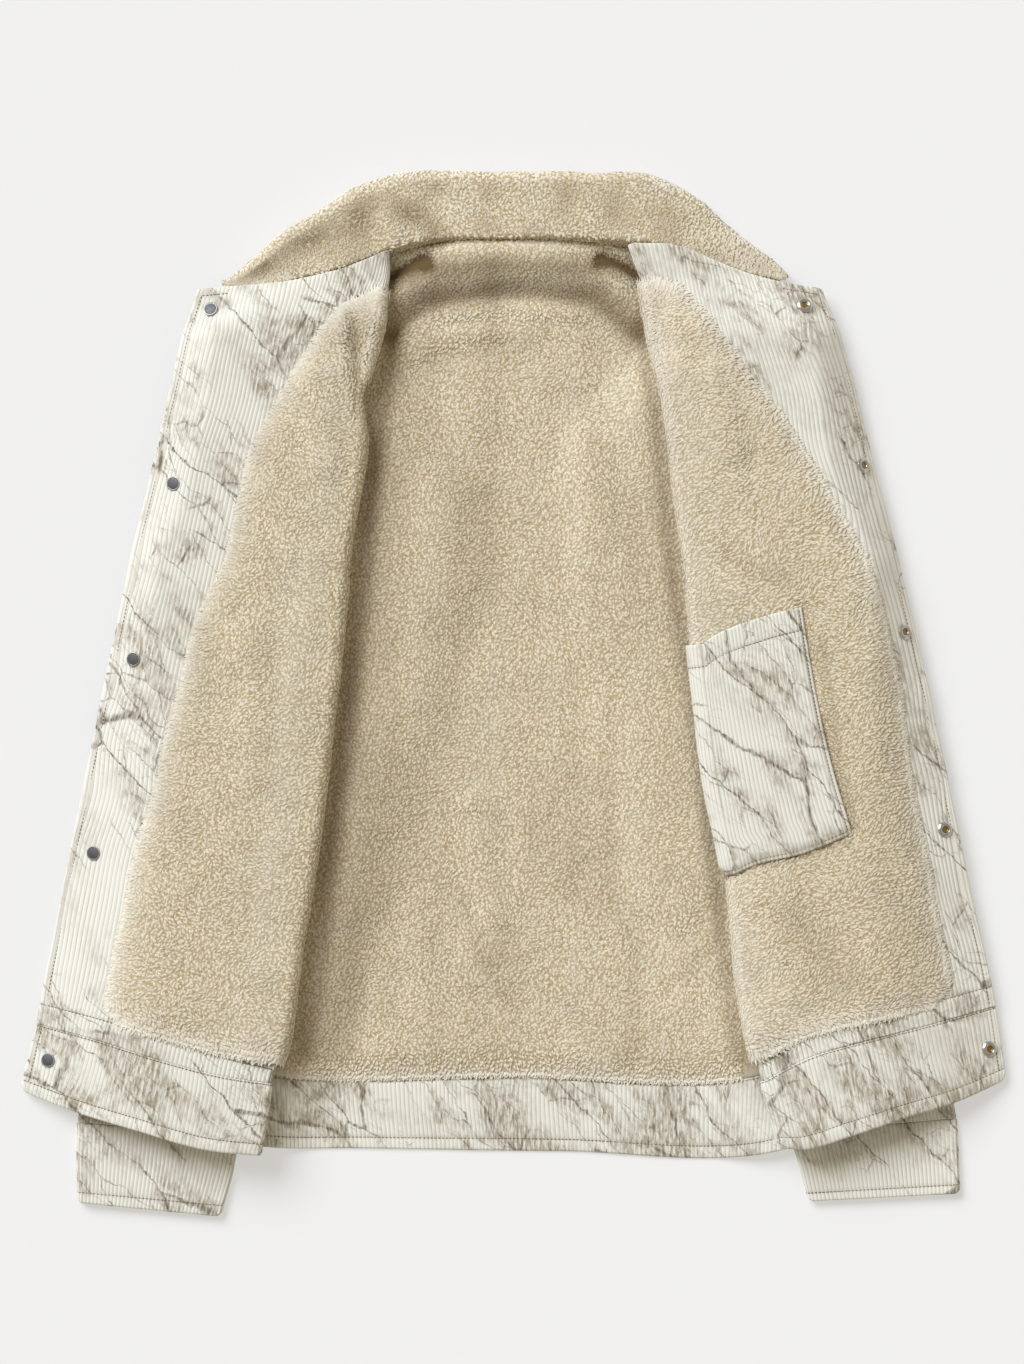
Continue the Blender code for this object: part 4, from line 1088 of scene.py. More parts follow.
# %% Back lining ground
back_cut = patch(curve(BACK_LEFT_SIDE), curve(BACK_RIGHT_SIDE), curve(NECK_AND_SHOULDERS),
                 curve(BACK_HEM_SEAM))
back_middle = on_back(back_cut)
u_places = spaced((0.0, 0.15, 6), (0.15, 0.85, 74), (0.85, 1.0, 6))
v_places = spaced((0.0, 0.12, 26), (0.12, BACK_FOOT - 0.012, 88),
                  (BACK_FOOT - 0.012, BACK_FOOT, 6))
u, v = np.meshgrid(u_places, v_places)
from_foot = (BACK_FOOT - v) * BACK_LENGTH
plan = back_cut(u, v)
rim = rim_share(np.minimum(from_foot, v * BACK_LENGTH + 2.0))
backing = BACK_BACKING + 2.0 * np.clip(from_foot / 40 - 0.5, 0, 1)
lift = BACK_LINING_LIFT + backing + (SHERPA - CURL_STAND - backing) * rim
x, y = plan[..., 0], plan[..., 1]
lift = lift + pile_relief(x, y, 11) + soft_lines(BACK_CREASES, x, y)
lift = lift - 0.8 * (1 - ease(from_foot / 2.0))
back_surface = lifted(back_middle, u, v, lift)
back_border = np.exp(-from_foot / 5.0)
# Paler at the foot, where the pile thins; painted shade and highlight from the table; and faint
# painted light and shade of soft vertical folds, from noise stretched along y.
back_pale = back_border - soft_lines(BACK_PAINTED_SHADE, x, y) + 0.15 * soft_noise(x, 0.14 * y, 15.0, 33)
back_lining = cloth_sheet("lining_back", back_surface, plan, 1.0, pile_ground,
                          "back_lining", {"pale": back_pale})

# %% Back lining curls
# columns: name, from row share, to row share
BACK_PILES = [("pile_back_upper", 0.0, 0.5), ("pile_back_lower", 0.5, 1.0)]
shown = (u_places > 0.17) & (u_places < 0.83)
back_comb = comb_table(math.radians(250) + 1.0 * soft_noise(x, y, 24.0, 31))
back_comb = back_comb + 2.0 * back_border[..., None] * unit(np.gradient(back_surface[0], axis=0))
back_tables = {"spots": back_surface[0], "normals": back_surface[1], "comb": back_comb,
               "border": back_border, "pale": back_pale}
back_piles = []
for name, first, last in BACK_PILES:
    rows = slice(int(first * (len(v_places) - 1)), int(last * (len(v_places) - 1)) + 1)
    tables = part_of(back_tables, np.s_[rows, shown])
    back_piles.append(curls(name, lattice(tables, CURL_PITCH, 21), (2.6, 4.4, 0.55), 0.6, 41))
back_piles.append(fringe("fringe_back", part_of(tables, np.s_[-3:]), 43))

# %% [markdown]
# ## The fronts' linings
# Each front's lining comes up from the side seam, goes round the fold and covers the middle of
# the turned-back front. Its ground is one sheet, so that no joint shows on the fold. Its outer
# edge is sewn to the corduroy facing, and there the pile thins out and leans over it. On the
# right front it sinks where the pocket is sewn down, and no curls are made under the pocket.

# %% Where a front's lining ends
FRONT_LENGTH = 590.0
LINING_CORNER = 11.0  # radius of the lining's lower corner
HALVINGS, NEWTON_STEPS = 24, 14  # how often a search for a place is refined


def share_inside(name, v):
    """How much of a front's width, at each share v of its length, its lining covers."""
    corner = LINING_FOOT - FOOT_SLOPE[name]
    round_in = end_bend(np.maximum(corner - v, 0.0) * FRONT_LENGTH, LINING_CORNER)
    low, high = np.zeros(np.shape(v)), np.ones(np.shape(v))
    for _ in range(HALVINGS):
        middle = (low + high) / 2
        spot = front_plans[name](middle, v)
        edge_x = read_edge(FRONTS[name]["lining edge"], spot[..., 1])
        inside = np.abs(spot[..., 0]) < np.abs(edge_x)
        low, high = np.where(inside, middle, low), np.where(inside, high, middle)
    return np.maximum(low - round_in / front_width(front_plans[name], v), 0.05)


def find_on(name, x, y):
    """The u and v of places on a front's plan, by Newton's method."""
    plan_at, step = front_plans[name], 1e-4
    u, v = np.full(np.shape(x), 0.3), np.full(np.shape(x), 0.5)
    for _ in range(NEWTON_STEPS):
        spot = plan_at(u, v)
        du, dv = (plan_at(u + step, v) - spot) / step, (plan_at(u, v + step) - spot) / step
        miss = stacked(x, y) - spot
        size = du[..., 0] * dv[..., 1] - du[..., 1] * dv[..., 0]
        u = u + (miss[..., 0] * dv[..., 1] - miss[..., 1] * dv[..., 0]) / size
        v = np.clip(v + (du[..., 0] * miss[..., 1] - du[..., 1] * miss[..., 0]) / size, 0, 1)
    return u, v


print("the left lining's share:", share_inside("left", np.array([0.5])).round(2))

# %% The front linings' wrinkles
# columns: points, height, half width
FRONT_CREASES = {
    "left": [
        ([(-123, 285), (-121.5, 258.4), (-120, 242), (-112, 207)], -3.2, 9),
        ([(-106, 284), (-104, 250), (-102, 222)], 1.2, 8),
        ([(-150, 120), (-172, 40), (-180, -40)], -0.9, 16),
    ],
    "right": [
        ([(110, 250), (116, 221)], -1.5, 5),
        ([(170, 200), (190, 120)], -0.9, 15),
        ([(190, -170), (230, -215)], -1.0, 14),
    ],
}
POCKET_SINK = [(POCKET_OUTER, -2.8, 7), (POCKET_FOOT, -2.4, 6)]
# painted shade in creases, along the pocket's stitched edges and on slopes turned from the
# light, and painted highlight where the amount is below 0; columns: points, amount, half width
FRONT_PAINTED_SHADE = {
    "left": [
        ([(-122, 282), (-120.5, 256), (-118, 238), (-111, 207)], 0.60, 8),
        ([(-114, 210), (-130, 111), (-136, 41), (-148, -59), (-161, -169), (-175, -270)], 0.23, 13),
        ([(-166, 111), (-172, 20), (-178, -90), (-190, -199)], -0.12, 14),
    ],
    "right": [
        ([(230, 40), (244, -52), (256, -100)], 0.26, 6), ([(180, -133), (250, -110)], 0.26, 6),
        ([(108, 281), (117, 211), (124, 141), (129, 103), (144, -4), (165, -154), (181, -274)],
         -0.25, 6),
        ([(126, 290), (136, 250)], 0.19, 12), ([(150, 118), (178, 92), (205, 86)], 0.16, 12),
        ([(200, -165), (250, -215)], 0.18, 34),
    ],
}
FOOT_AT_FOLD = 0.976  # share of its length where its foot is, at the fold
FOOT_OVERLAP = {"left": 5.0, "right": 10.0}  # mm that its foot lies over the facing
print("wrinkles in shape:", {name: len(rows) for name, rows in FRONT_CREASES.items()})

# %% The front linings' ground
pile_tables = {}


def front_lining(name, seed):
    """A front's sherpa, from the side seam, round the fold, to the facing."""
    steps = np.concatenate([spaced((-1.0, -0.15, 8), (-0.15, 1.0, 12))[:-1],
                            1 + spaced((0.0, 0.93, 34), (0.93, 1.0, 6))])
    t = spaced((0.0, 0.012, 4), (0.012, 0.988, 110), (0.988, 1.0, 5))
    foot_outer = LINING_FOOT - FOOT_SLOPE[name] + FOOT_OVERLAP[name] / FRONT_LENGTH
    head = LINING_HEAD + 0.001
    columns = []
    for step in steps:
        outward = max(step - 1.0, 0.0)
        foot = FOOT_AT_FOLD + (foot_outer - FOOT_AT_FOLD) * outward
        v = head + (foot - head) * t
        width = front_width(front_plans[name], v)
        share = share_inside(name, v) - EDGE_GAP / width
        q = 1 + share * outward if step > 1 else np.full(len(v), step)
        columns.append((q, v, (1 - outward) * share * width, (foot - v) * FRONT_LENGTH))
    q, v, from_side, from_foot = (np.stack(part, axis=1) for part in zip(*columns))
    from_head = (v - head) * FRONT_LENGTH
    on_top = ease(q)
    distance = np.minimum(np.minimum(from_side, from_head + 1.0), from_foot)
    distance = RIM + (np.minimum(distance, RIM) - RIM) * on_top
    flat, _ = front_points[name](q, v, 0.0)
    x, y = flat[..., 0], flat[..., 1]
    lift = LINING_LIFT + BACKING + (SHERPA - CURL_STAND - BACKING) * rim_share(distance)
    relief = pile_relief(x, y, seed) + soft_lines(FRONT_CREASES[name], x, y)
    if name == "right":
        relief = relief + soft_lines(POCKET_SINK, x, y)
    lift = np.maximum(lift + relief * ease((q + 0.2) / 0.8), LINING_LIFT + 0.9)
    lift = lift - EDGE_DIVE * (1 - ease(distance / 1.5)) * on_top
    spots, normals = front_points[name](q, v, lift)
    near_side = np.exp(-from_side / 7.0) * (q > 1)
    near_foot, near_head = np.exp(-from_foot / 7.0), np.exp(-from_head / 7.0)
    border = np.clip(near_side + near_foot + near_head, 0, 1) * on_top
    # Paler where the pile thins at its border, a painted highlight on the fold's roll, and painted
    # shade and highlight from the table.
    pale = border + 0.3 * np.exp(-((q - 0.8) / 0.35) ** 2) - soft_lines(FRONT_PAINTED_SHADE[name], x, y)
    down_way, outward_way = (unit(np.gradient(spots, axis=axis)) for axis in (0, 1))
    pile_tables[name] = {
        "spots": spots, "normals": normals, "q": q, "v": v, "border": border, "pale": pale,
        "leaning": 2.5 * (near_side[..., None] * outward_way
                          + (near_foot - near_head)[..., None] * down_way),
    }
    return cloth_sheet(f"lining_front_{name}", (spots, normals), flat[..., :2], 0.8, pile_ground,
                       f"front_lining_{name}", {"pale": pale})


front_linings = both_sides(front_lining, (51, 53))

# %% The front linings' curls
POCKET_INSET = 5.0  # curls reach this far under the pocket's edges
POCKET_MOUTH_INSET = 9.0  # and this far in at its mouth
# columns: the way that the pile lies, how much that wanders, how far curls differ, curl size
COMBING = {
    "left": (math.radians(235), 2.2, 0.5, (2.7, 4.8, 0.70)),
    "right": (math.radians(32), 0.8, 0.4, (2.5, 5.2, 0.65)),
}
pocket_plan = patch(curve([POCKET_TOP[0], POCKET_FOOT[0]]), curve(POCKET_OUTER),
                    curve(POCKET_TOP), curve(POCKET_FOOT))


def under_pocket(spots):
    """Whether places on the right front lie under the pocket, well inside its edges."""
    x, y = spots[:, 0], spots[:, 1]
    top, foot = read_edge(POCKET_TOP, x, 0, 1), read_edge(POCKET_FOOT, x, 0, 1)
    in_width = x < read_edge(POCKET_OUTER, y) - POCKET_INSET
    return in_width & (y < top - POCKET_MOUTH_INSET) & (y > foot + POCKET_INSET)


def front_pile(name, seed):
    """The curls on what shows of a front's lining."""
    lie, wander, scatter, size = COMBING[name]
    tables = part_of(pile_tables[name], np.s_[:, pile_tables[name]["q"][0] > -0.1])
    x, y = tables["spots"][..., 0], tables["spots"][..., 1]
    angle = lie + wander * soft_noise(x, y, 16.0, seed + 1)
    tables["comb"] = comb_table(angle) + tables.pop("leaning")
    places = lattice(tables, CURL_PITCH, seed)
    if name == "right":
        places = part_of(places, ~under_pocket(places["spots"]))
    sides = part_of(tables, np.s_[:, -3:])
    feet = part_of(tables, np.s_[-3:, tables["q"][0] > 1.0])
    return [curls(f"pile_front_{name}", places, size, scatter, seed + 2),
            fringe(f"fringe_side_{name}", sides, seed + 3),
            fringe(f"fringe_foot_{name}", feet, seed + 5)]


front_piles = both_sides(front_pile, (61, 67))

# %% [markdown]
# ## The collar
# The collar stands up from the neck seam and rolls over outward, so a fat roll of sherpa makes
# the jacket's top outline. A bent tube could be the roll, but a collar thins to a point at each
# end. So one table gives, for places along the neck, where the seam and the roll lie and how
# full the roll is. The sheet goes from the seam over the roll and back under it.

# %% The collar's surface
COLLAR_LENGTH, COLLAR_GIRTH = 430.0, 45.0  # mm along the neck, and to one step of s
UNDER_ENDS = (0.045, 0.955)  # shares of its length where the under collar ends
CURLED_TO = 1.85  # s under the roll, past which no curls show
OUTSIDE = LINING_LIFT + SHERPA
# columns: points, height, half width
COLLAR_CREASES = [
    ([(-92, 372), (-86, 352), (-88, 342)], 1.0, 9),
    ([(-60, 372), (-50, 350)], -1.6, 22),
    ([(60, 380), (74, 352)], -0.8, 14),
]
# painted shade, darkest at the collar's left end, and painted highlight where the amount is
# below 0; columns: points, amount, half width
COLLAR_PAINTED_SHADE = [
    ([(-196, 318), (-160, 338), (-122, 356)], 0.53, 25),
    ([(-100, 374), (-62, 352)], 0.44, 17), ([(-30, 352), (10, 350)], 0.23, 14),
    ([(30, 362), (70, 366)], 0.09, 20), ([(-48, 388), (-46, 366)], -0.20, 8),
]
collar_at = curve(COLLAR)
LIP_REACH, LIP_FALL = 18.0, 50.0 # how far the seam's lip goes inward and down, for s of -1
LIP_TILT = 0.4  # and how much its normals rise


def collar_surface(share, s, lift_full, lift_even):
    """Places on the collar: s is 0 at the seam, 1 on the roll, 2 under it and 3 at the seam.

    Below 0 it goes down inside the neck, so that the seam is closed.
    """
    seam_x, seam_y, roll_x, roll_y, seam_z, roll_z, full = np.moveaxis(collar_at(share), -1, 0)
    seam, roll = stacked(seam_x, seam_y), stacked(roll_x, roll_y)
    outward = unit(roll - seam)
    middle = roll - outward * (OUTSIDE * full)[..., None]
    height = lift_full * full + lift_even
    top, under = np.clip(s, 0, 1), np.clip(s - 2, 0, 1)
    angle = math.pi * (0.5 - np.clip(s - 1, 0, 1))
    flat = np.where((s < 1)[..., None], seam + (middle - seam) * top[..., None],
                    middle + (seam - middle) * under[..., None])
    flat = flat + outward * (np.cos(angle) * height)[..., None]
    level = np.where(s < 1, seam_z + (roll_z - seam_z) * ease(top),
                     roll_z + (seam_z - roll_z) * ease(under))
    level = level + np.sin(angle) * height
    lip = np.maximum(-s, 0.0)
    flat = flat - outward * (lip * LIP_REACH)[..., None]
    level = level - lip * LIP_FALL
    out = raised(outward * np.cos(angle)[..., None], np.sin(angle))
    inward = raised(-outward, np.full(s.shape, LIP_TILT))
    out = np.where((s < 0)[..., None], unit(inward), out)
    return raised(flat, level), out


middle_spot, _ = collar_surface(np.array([0.5]), np.array([1.0]), OUTSIDE, 0.0)
print("the collar's roll, at its middle:", middle_spot.round(1))

# %% Collar sheets
share, s = np.meshgrid(np.linspace(0.0, 1.0, 131), np.concatenate(
    [[-0.24, -0.16, -0.08], spaced((0, 1, 16), (1, 2, 14), (2, 3, 8))]))
collar_flat, _ = collar_surface(share, s, SHELL_LIFT + CORDUROY, 0.5)
collar_x, collar_y = collar_flat[..., 0], collar_flat[..., 1]
relief = pile_relief(share * COLLAR_LENGTH, s * 40, 71)
relief = relief + soft_lines(COLLAR_CREASES, collar_x, collar_y) * (s < 1.6)
from_end = np.minimum(share, 1 - share) * COLLAR_LENGTH
collar_lift = SHELL_LIFT + CORDUROY + (SHERPA - CURL_STAND) * rim_share(from_end + 1.5)
collar_outside = collar_surface(share, s, collar_lift, 0.5 + relief)
collar_upper = cloth_sheet("collar_sherpa", collar_outside,
                           stacked(share * COLLAR_LENGTH, s * COLLAR_GIRTH), 0.8, pile_ground,
                           "collar_upper")
inner = (share[0] > UNDER_ENDS[0]) & (share[0] < UNDER_ENDS[1])
share_in, s_in = share[3::2, inner][:, ::2], s[3::2, inner][:, ::2]
collar_under = cloth_sheet(
    "collar_under_cloth", collar_surface(share_in, s_in, SHELL_LIFT + CORDUROY, 0.0),
    stacked(share_in * COLLAR_LENGTH, s_in * COLLAR_GIRTH), CORDUROY, plain_corduroy,
    "collar_under")

# %% Collar curls
comb = comb_table(math.radians(80) + 1.2 * soft_noise(collar_x, collar_y, 18.0, 74))
pale = 0.5 * np.exp(-((s - 1.35) / 0.3) ** 2)  # palest where the roll's edge catches the light
# Painted shade and highlight on the collar's outside, from the table.
pale = pale - soft_lines(COLLAR_PAINTED_SHADE, collar_x, collar_y) * (s < 1)
pale = pale + 0.42 * soft_noise(collar_x, collar_y, 19.0, 77)
tables = part_of({"spots": collar_outside[0], "normals": collar_outside[1], "comb": comb,
                  "border": np.exp(-from_end / 4.0), "pale": pale}, s[:, 0] < CURLED_TO)
collar_pile = curls("pile_collar", lattice(tables, CURL_PITCH, 73), (2.7, 4.6, 0.80), 0.7, 75)

# %% [markdown]
# ## Corduroy pieces
# Corduroy's wales are cut from loops of thread, so each is a soft ridge. A bump in the finish
# could draw them, but only real ridges cast shade and show at an edge. So they are modelled
# wherever the cloth shows: four columns of the grid to a wale, at a constant distance from the
# placket, because the cloth was cut along its wales. A row of stitches presses the wales flat,
# so each line of them has a shallow channel.

# %% Wales
WALE_DEPTH = 0.6
CROWN_SET = 0.3  # how far the wales' crowns lie inside the solid's face
QUARTER = WALE / 4
CHANNEL_HALF = 1.1
CHANNEL_DEPTH = 0.55


def pressed_lines(*distances):
    """1 on the stitched lines, from the distances to them, and 0 away from them."""
    return np.max([np.exp(-(distance / CHANNEL_HALF) ** 2) for distance in distances], axis=0)


def wale_relief(across, pressed):
    """Height of the wales at a distance across them, flattened where stitches press them."""
    ridges = np.abs(np.sin(math.pi * across / WALE)) ** 0.6 - 1
    return WALE_DEPTH * ridges * (1 - 0.75 * pressed) - CHANNEL_DEPTH * pressed


def turned_edge(distance, depth):
    """How far a folded edge drops, this far in from it."""
    return -depth * (1 - np.sqrt(1 - (1 - np.clip(distance / 1.3, 0, 1)) ** 2))


def round_corner(a, b, radius):
    """Distances a and b from two edges that meet, eased so that their corner is round."""
    p, q = np.maximum(radius - a, 0.0), np.maximum(radius - b, 0.0)
    shrink = np.maximum(p, q) / np.maximum(np.hypot(p, q), 1e-9)
    both = (p > 0) & (q > 0)
    return np.where(both, radius - p * shrink, a), np.where(both, radius - q * shrink, b)


def wale_places(length):
    """Distances from an edge: two more for its round turn, then four to a wale."""
    return np.concatenate([[0.0, 0.25], np.arange(QUARTER, length, QUARTER)])


print("on a crown and in a groove:", wale_relief(np.array([WALE / 2, 0.0]), 0.0), "mm")

# %% [markdown]
# ## The facings
# The facing runs down each placket and fills the corners at the neck and hem. It could be cut
# out of a wide sheet, but a cut would leave a ragged edge across the wales. So its grid is as
# wide as the neck end, and the columns that pass its inner edge run together there.

# %% A facing's sizes
FACING_TOP = FACING_LIFT + CORDUROY - CROWN_SET
STITCH_IN = 5.3  # the placket's stitches, from its edge
HEAD_STITCH = 6.2  # and those along its top, from the neck edge
BOX_WIDTH = {"left": 25.0, "right": 32.0}  # how far those run
EDGE_ROLL = 0.6  # how far the edge outside them stands up
FACING_WIDEST = 184.0
FOLD_LENGTH = 32.0  # mm round the fold
NECK_WRAP = 0.6  # share of it that the facing goes round at the neck
FACING_SEEDS = {"left": 82, "right": 86}
SEAM_SINK = 0.7  # how far it goes down to the hem band's level
PILE_SINK = 0.7  # how far the facing goes down to the pile's edge
FOOT_STITCH = 16.0  # a second row of stitches, above the hem band's seam
WAVER = 3.0  # mm that the wales wander sideways
SEWN_PAINTED_SHADE = {"left": 0.9, "right": 0.35}  # how much shade is painted into the channels of the stitches
print("a facing's widest row has", len(wale_places(FACING_WIDEST)), "places")

# %% A facing's unevenness
def facing_swell(name, across, v):
    """The soft unevenness of a facing, with finer puckers beside its stitches."""
    seed, from_head = FACING_SEEDS[name], v * FRONT_LENGTH
    broad = 0.5 * (1 + soft_noise(across, from_head, 26.0, seed))
    fine = 0.3 * (1 + soft_noise(across, from_head, 9.0, seed + 1)) * np.exp(-across / 14)
    to_band = SEAM_SINK * (1 - ease((FRONT_LENGTH - from_head) / 14))
    return broad + fine + EDGE_ROLL * np.exp(-((across - STITCH_IN / 2) / 1.8) ** 2) - to_band

# %% Facings
def facing_piece(name, seed):
    """A front's facing, from the neck down the placket to the hem band."""
    plan_at, foot, slope = front_plans[name], LINING_FOOT, FOOT_SLOPE[name]
    v = np.concatenate([
        [0.0, 0.0006, 0.002, 0.006, 0.0085, 0.0105, 0.0125, 0.015],
        np.linspace(0.022, LINING_HEAD - 0.0008, 4),
        np.linspace(LINING_HEAD + 0.0008, foot - slope, 66),
        np.linspace(foot - slope, 0.9705, 3)[1:], [0.9719, 0.9729, 0.9739, 0.9752, 0.979],
        np.linspace(foot, 1.0, 6)[:-1], [0.9978, 0.9992, 1.0],
    ])
    share = share_inside(name, v)
    inner = np.where(v < LINING_HEAD, -NECK_WRAP, share * np.clip((foot - v) / slope, 0.0, 1.0))
    across, v = np.meshgrid(wale_places(FACING_WIDEST), v)
    width = front_width(plan_at, v)
    waver = WAVER * soft_noise(across, v * FRONT_LENGTH, 45.0, seed) * ease(across / 8)
    u = 1 - (across + waver) / width
    u = np.maximum(np.where(u < 0, u * width / FOLD_LENGTH, u), inner[:, None])
    across = np.minimum(across, width - np.where(u < 0, FOLD_LENGTH, width) * u - waver)
    from_head, from_foot = v * FRONT_LENGTH, (1 - v) * FRONT_LENGTH
    box = BOX_WIDTH[name]
    sewn = pressed_lines(
        np.hypot(across - STITCH_IN, np.maximum(HEAD_STITCH - from_head, 0)),
        np.hypot(from_head - HEAD_STITCH,
                 np.maximum(across - box, 0) + np.maximum(STITCH_IN - across, 0)),
        (from_foot - FOOT_STITCH) * 1.6)
    relief = wale_relief(across, sewn) + turned_edge(across, 1.4) + turned_edge(from_foot, 0.3)
    relief = relief + turned_edge(from_head, 0.8) + facing_swell(name, across, v)
    from_side = (u - share[:, None]) * width
    foot_line = foot - slope * u / share[:, None] + FOOT_OVERLAP[name] / FRONT_LENGTH
    from_pile = np.maximum(from_side, (v - foot_line) * FRONT_LENGTH)
    relief = relief - PILE_SINK * (1 - ease(from_pile / 6 + 0.4)) * (v > LINING_HEAD)
    return cloth_sheet(f"facing_{name}", front_points[name](1 + u, v, FACING_TOP + relief),
                       stacked(across, v * FRONT_LENGTH), 1.1, corduroy,
                       f"front_facing_{name}", {"sewn": sewn * SEWN_PAINTED_SHADE[name]})


facings = both_sides(facing_piece, (81, 85))

# %% [markdown]
# ## The shells and the hem bands
# The shells are the jacket's outside. On the turned-back fronts they face down, so they are
# made plainly, with wales from bump. The hem bands show their whole top, so they have real
# wales, a round hem, a groove at the seam, and a soft turn round the fold.

# %% Shells
def shell_piece(name):
    """A front's corduroy outside. Its marks run at 150 mm across, and 12 round the fold."""
    q, v = np.meshgrid(spaced((-1, -0.1, 8), (-0.1, 1, 10), (1, 2, 26)), np.linspace(0.0, 1.0, 61))
    across = np.where(q > 1, (2 - q) * 150, 150 + (1 - q) * 12)
    return cloth_sheet(f"shell_front_{name}", front_points[name](q, v, SHELL_LIFT + CORDUROY),
                       stacked(across, v * FRONT_LENGTH), CORDUROY, plain_corduroy,
                       f"front_shell_{name}")


front_shells = {name: shell_piece(name) for name in FRONTS}
u, v = np.meshgrid(np.linspace(0, 1, 56), spaced((0, 0.12, 14), (0.12, 1.0, 46)))
surface = lifted(back_middle, u, v, np.full(u.shape, CORDUROY))
back_shell = cloth_sheet("shell_back", surface, surface[0][..., :2], CORDUROY, plain_corduroy,
                         "back_shell")

# %% A hem band's shape
BAND_DEPTH = 54.0
BAND_TOP = SHELL_LIFT + BAND - CROWN_SET
BAND_ARC = math.pi * (SHELL_LIFT + BAND)  # mm round the fold
CORNER = 6.0  # radius of the bands' and cuffs' corners
HEM_STITCH = 8.8  # from the hem's edge
SEAM_STITCH = 1.3  # from the band's seam
BAND_STITCHES = (HEM_STITCH, BAND_DEPTH - SEAM_STITCH)
# distances from the hem's edge, closer at the hem, its stitches and the seam
BAND_ROWS = np.array([0.0, 0.25, 0.8, 1.6, 3.5, 6.0, 7.8, 8.8, 9.8, 12.0, 17.0, 23.0, 29.0, 35.0,
                      41.0, 46.0, 49.5, 51.2, 52.3, 53.1, 54.0])


def band_relief(across, from_hem, sewn):
    """A hem band's top: wales, a round hem and a groove at the seam."""
    relief = wale_relief(across, sewn) + turned_edge(from_hem, 1.8)
    return relief + turned_edge(BAND_DEPTH - from_hem, 0.35)


BAND_SEEDS = {"left": 92, "right": 96}


def band_swell(name, across, from_hem):
    """The soft unevenness of a front's hem band."""
    return 0.5 * (1 + soft_noise(across, from_hem, 20.0, BAND_SEEDS[name])) * ease(from_hem / 6)


print("a hem band's turn:", round(BAND_ARC, 1), "mm")

# %% Front hem bands
def band_piece(name, seed):
    """A front's hem band, from its placket, round the fold and back out under it."""
    top_width = band_widths[name]
    top = 2 - wale_places(top_width) / top_width
    arc = np.linspace(1.0, 0.0, int(BAND_ARC / QUARTER) + 1)
    under = np.linspace(-0.05, -1.0, 9)
    q, from_hem = np.meshgrid(np.concatenate([top, arc, under]), BAND_ROWS)
    across = np.where(q > 1, (2 - q) * top_width, top_width + (1 - q) * BAND_ARC)
    across = across + WAVER * soft_noise(across, from_hem, 40.0, seed) * ease(across / 8)
    sewn = pressed_lines(across - STITCH_IN, from_hem - HEM_STITCH,
                         from_hem - BAND_DEPTH + SEAM_STITCH) * (q > 0)
    relief = band_relief(across, from_hem, sewn) * ease((q + 0.1) / 0.4)
    relief = relief + turned_edge(across, 1.6) + band_swell(name, across, from_hem) * ease(q)
    edge, hem = round_corner((2 - q) * top_width, from_hem, CORNER)
    hem = hem + end_bend(np.abs(across - top_width - BAND_ARC / 2), CORNER) * np.clip(
        1 - from_hem / 20, 0, 1)
    q = np.where(q > 1, 2 - edge / top_width, q)
    surface = band_points[name](q, 1 - hem / BAND_DEPTH, BAND_TOP + relief)
    return cloth_sheet(f"hem_band_{name}", surface, stacked(across, -from_hem), 2.2, corduroy,
                       f"front_hem_band_{name}", {"sewn": sewn * SEWN_PAINTED_SHADE[name]})


front_bands = both_sides(band_piece, (91, 95))

# %% Back hem band
BAND_SHOWN = (-192.0, 200.0)
back_band_cut = patch(curve([BACK_LEFT_SIDE[-1], BACK_HEM[0]]),
                      curve([BACK_RIGHT_SIDE[-1], BACK_HEM[-1]]),
                      curve(BACK_HEM_SEAM), curve(BACK_HEM))
back_band_middle = on_back(back_band_cut)


def back_band_places(x, from_hem, relief):
    """Places on the back hem band's top, from x along the seam and the distance from the hem."""
    seam_x = back_band_cut(np.linspace(0, 1, 400), np.zeros(400))[:, 0]
    u = np.interp(x, seam_x, np.linspace(0, 1, 400))
    return lifted(back_band_middle, u, 1 - from_hem / BAND_DEPTH, BAND - CROWN_SET + relief)


x_places = np.concatenate([
    np.linspace(-263, BAND_SHOWN[0], 8)[:-1], np.arange(*BAND_SHOWN, QUARTER),
    np.linspace(BAND_SHOWN[1], 263, 7)])
x, from_hem = np.meshgrid(x_places, BAND_ROWS)
across = x + WAVER * soft_noise(x, from_hem, 40.0, 101)
in_view = (x > BAND_SHOWN[0]) & (x < BAND_SHOWN[1])
sewn = pressed_lines(from_hem - HEM_STITCH, from_hem - BAND_DEPTH + SEAM_STITCH) * in_view
relief = band_relief(across, from_hem, sewn) * in_view + turned_edge(from_hem, 1.8) * ~in_view
relief = relief + 0.3 * soft_noise(x, from_hem, 28.0, 103) * in_view
spots, normals = back_band_places(x, from_hem, relief)
spots[..., 2] = np.maximum(spots[..., 2], 1.05)
back_band = cloth_sheet("hem_band_back", (spots, normals), stacked(across, -from_hem), 1.0,
                        corduroy, "back_hem_band", {"sewn": sewn})

# %% [markdown]
# ## Sleeves and cuffs
# The sleeves lie flattened under the body, and only the cuffs come out below the hem. Each is
# a tube whose section is a flat stadium: two level sides with half circles at their ends. A
# squashed cylinder would be oval, and cloth that is folded flat isn't.

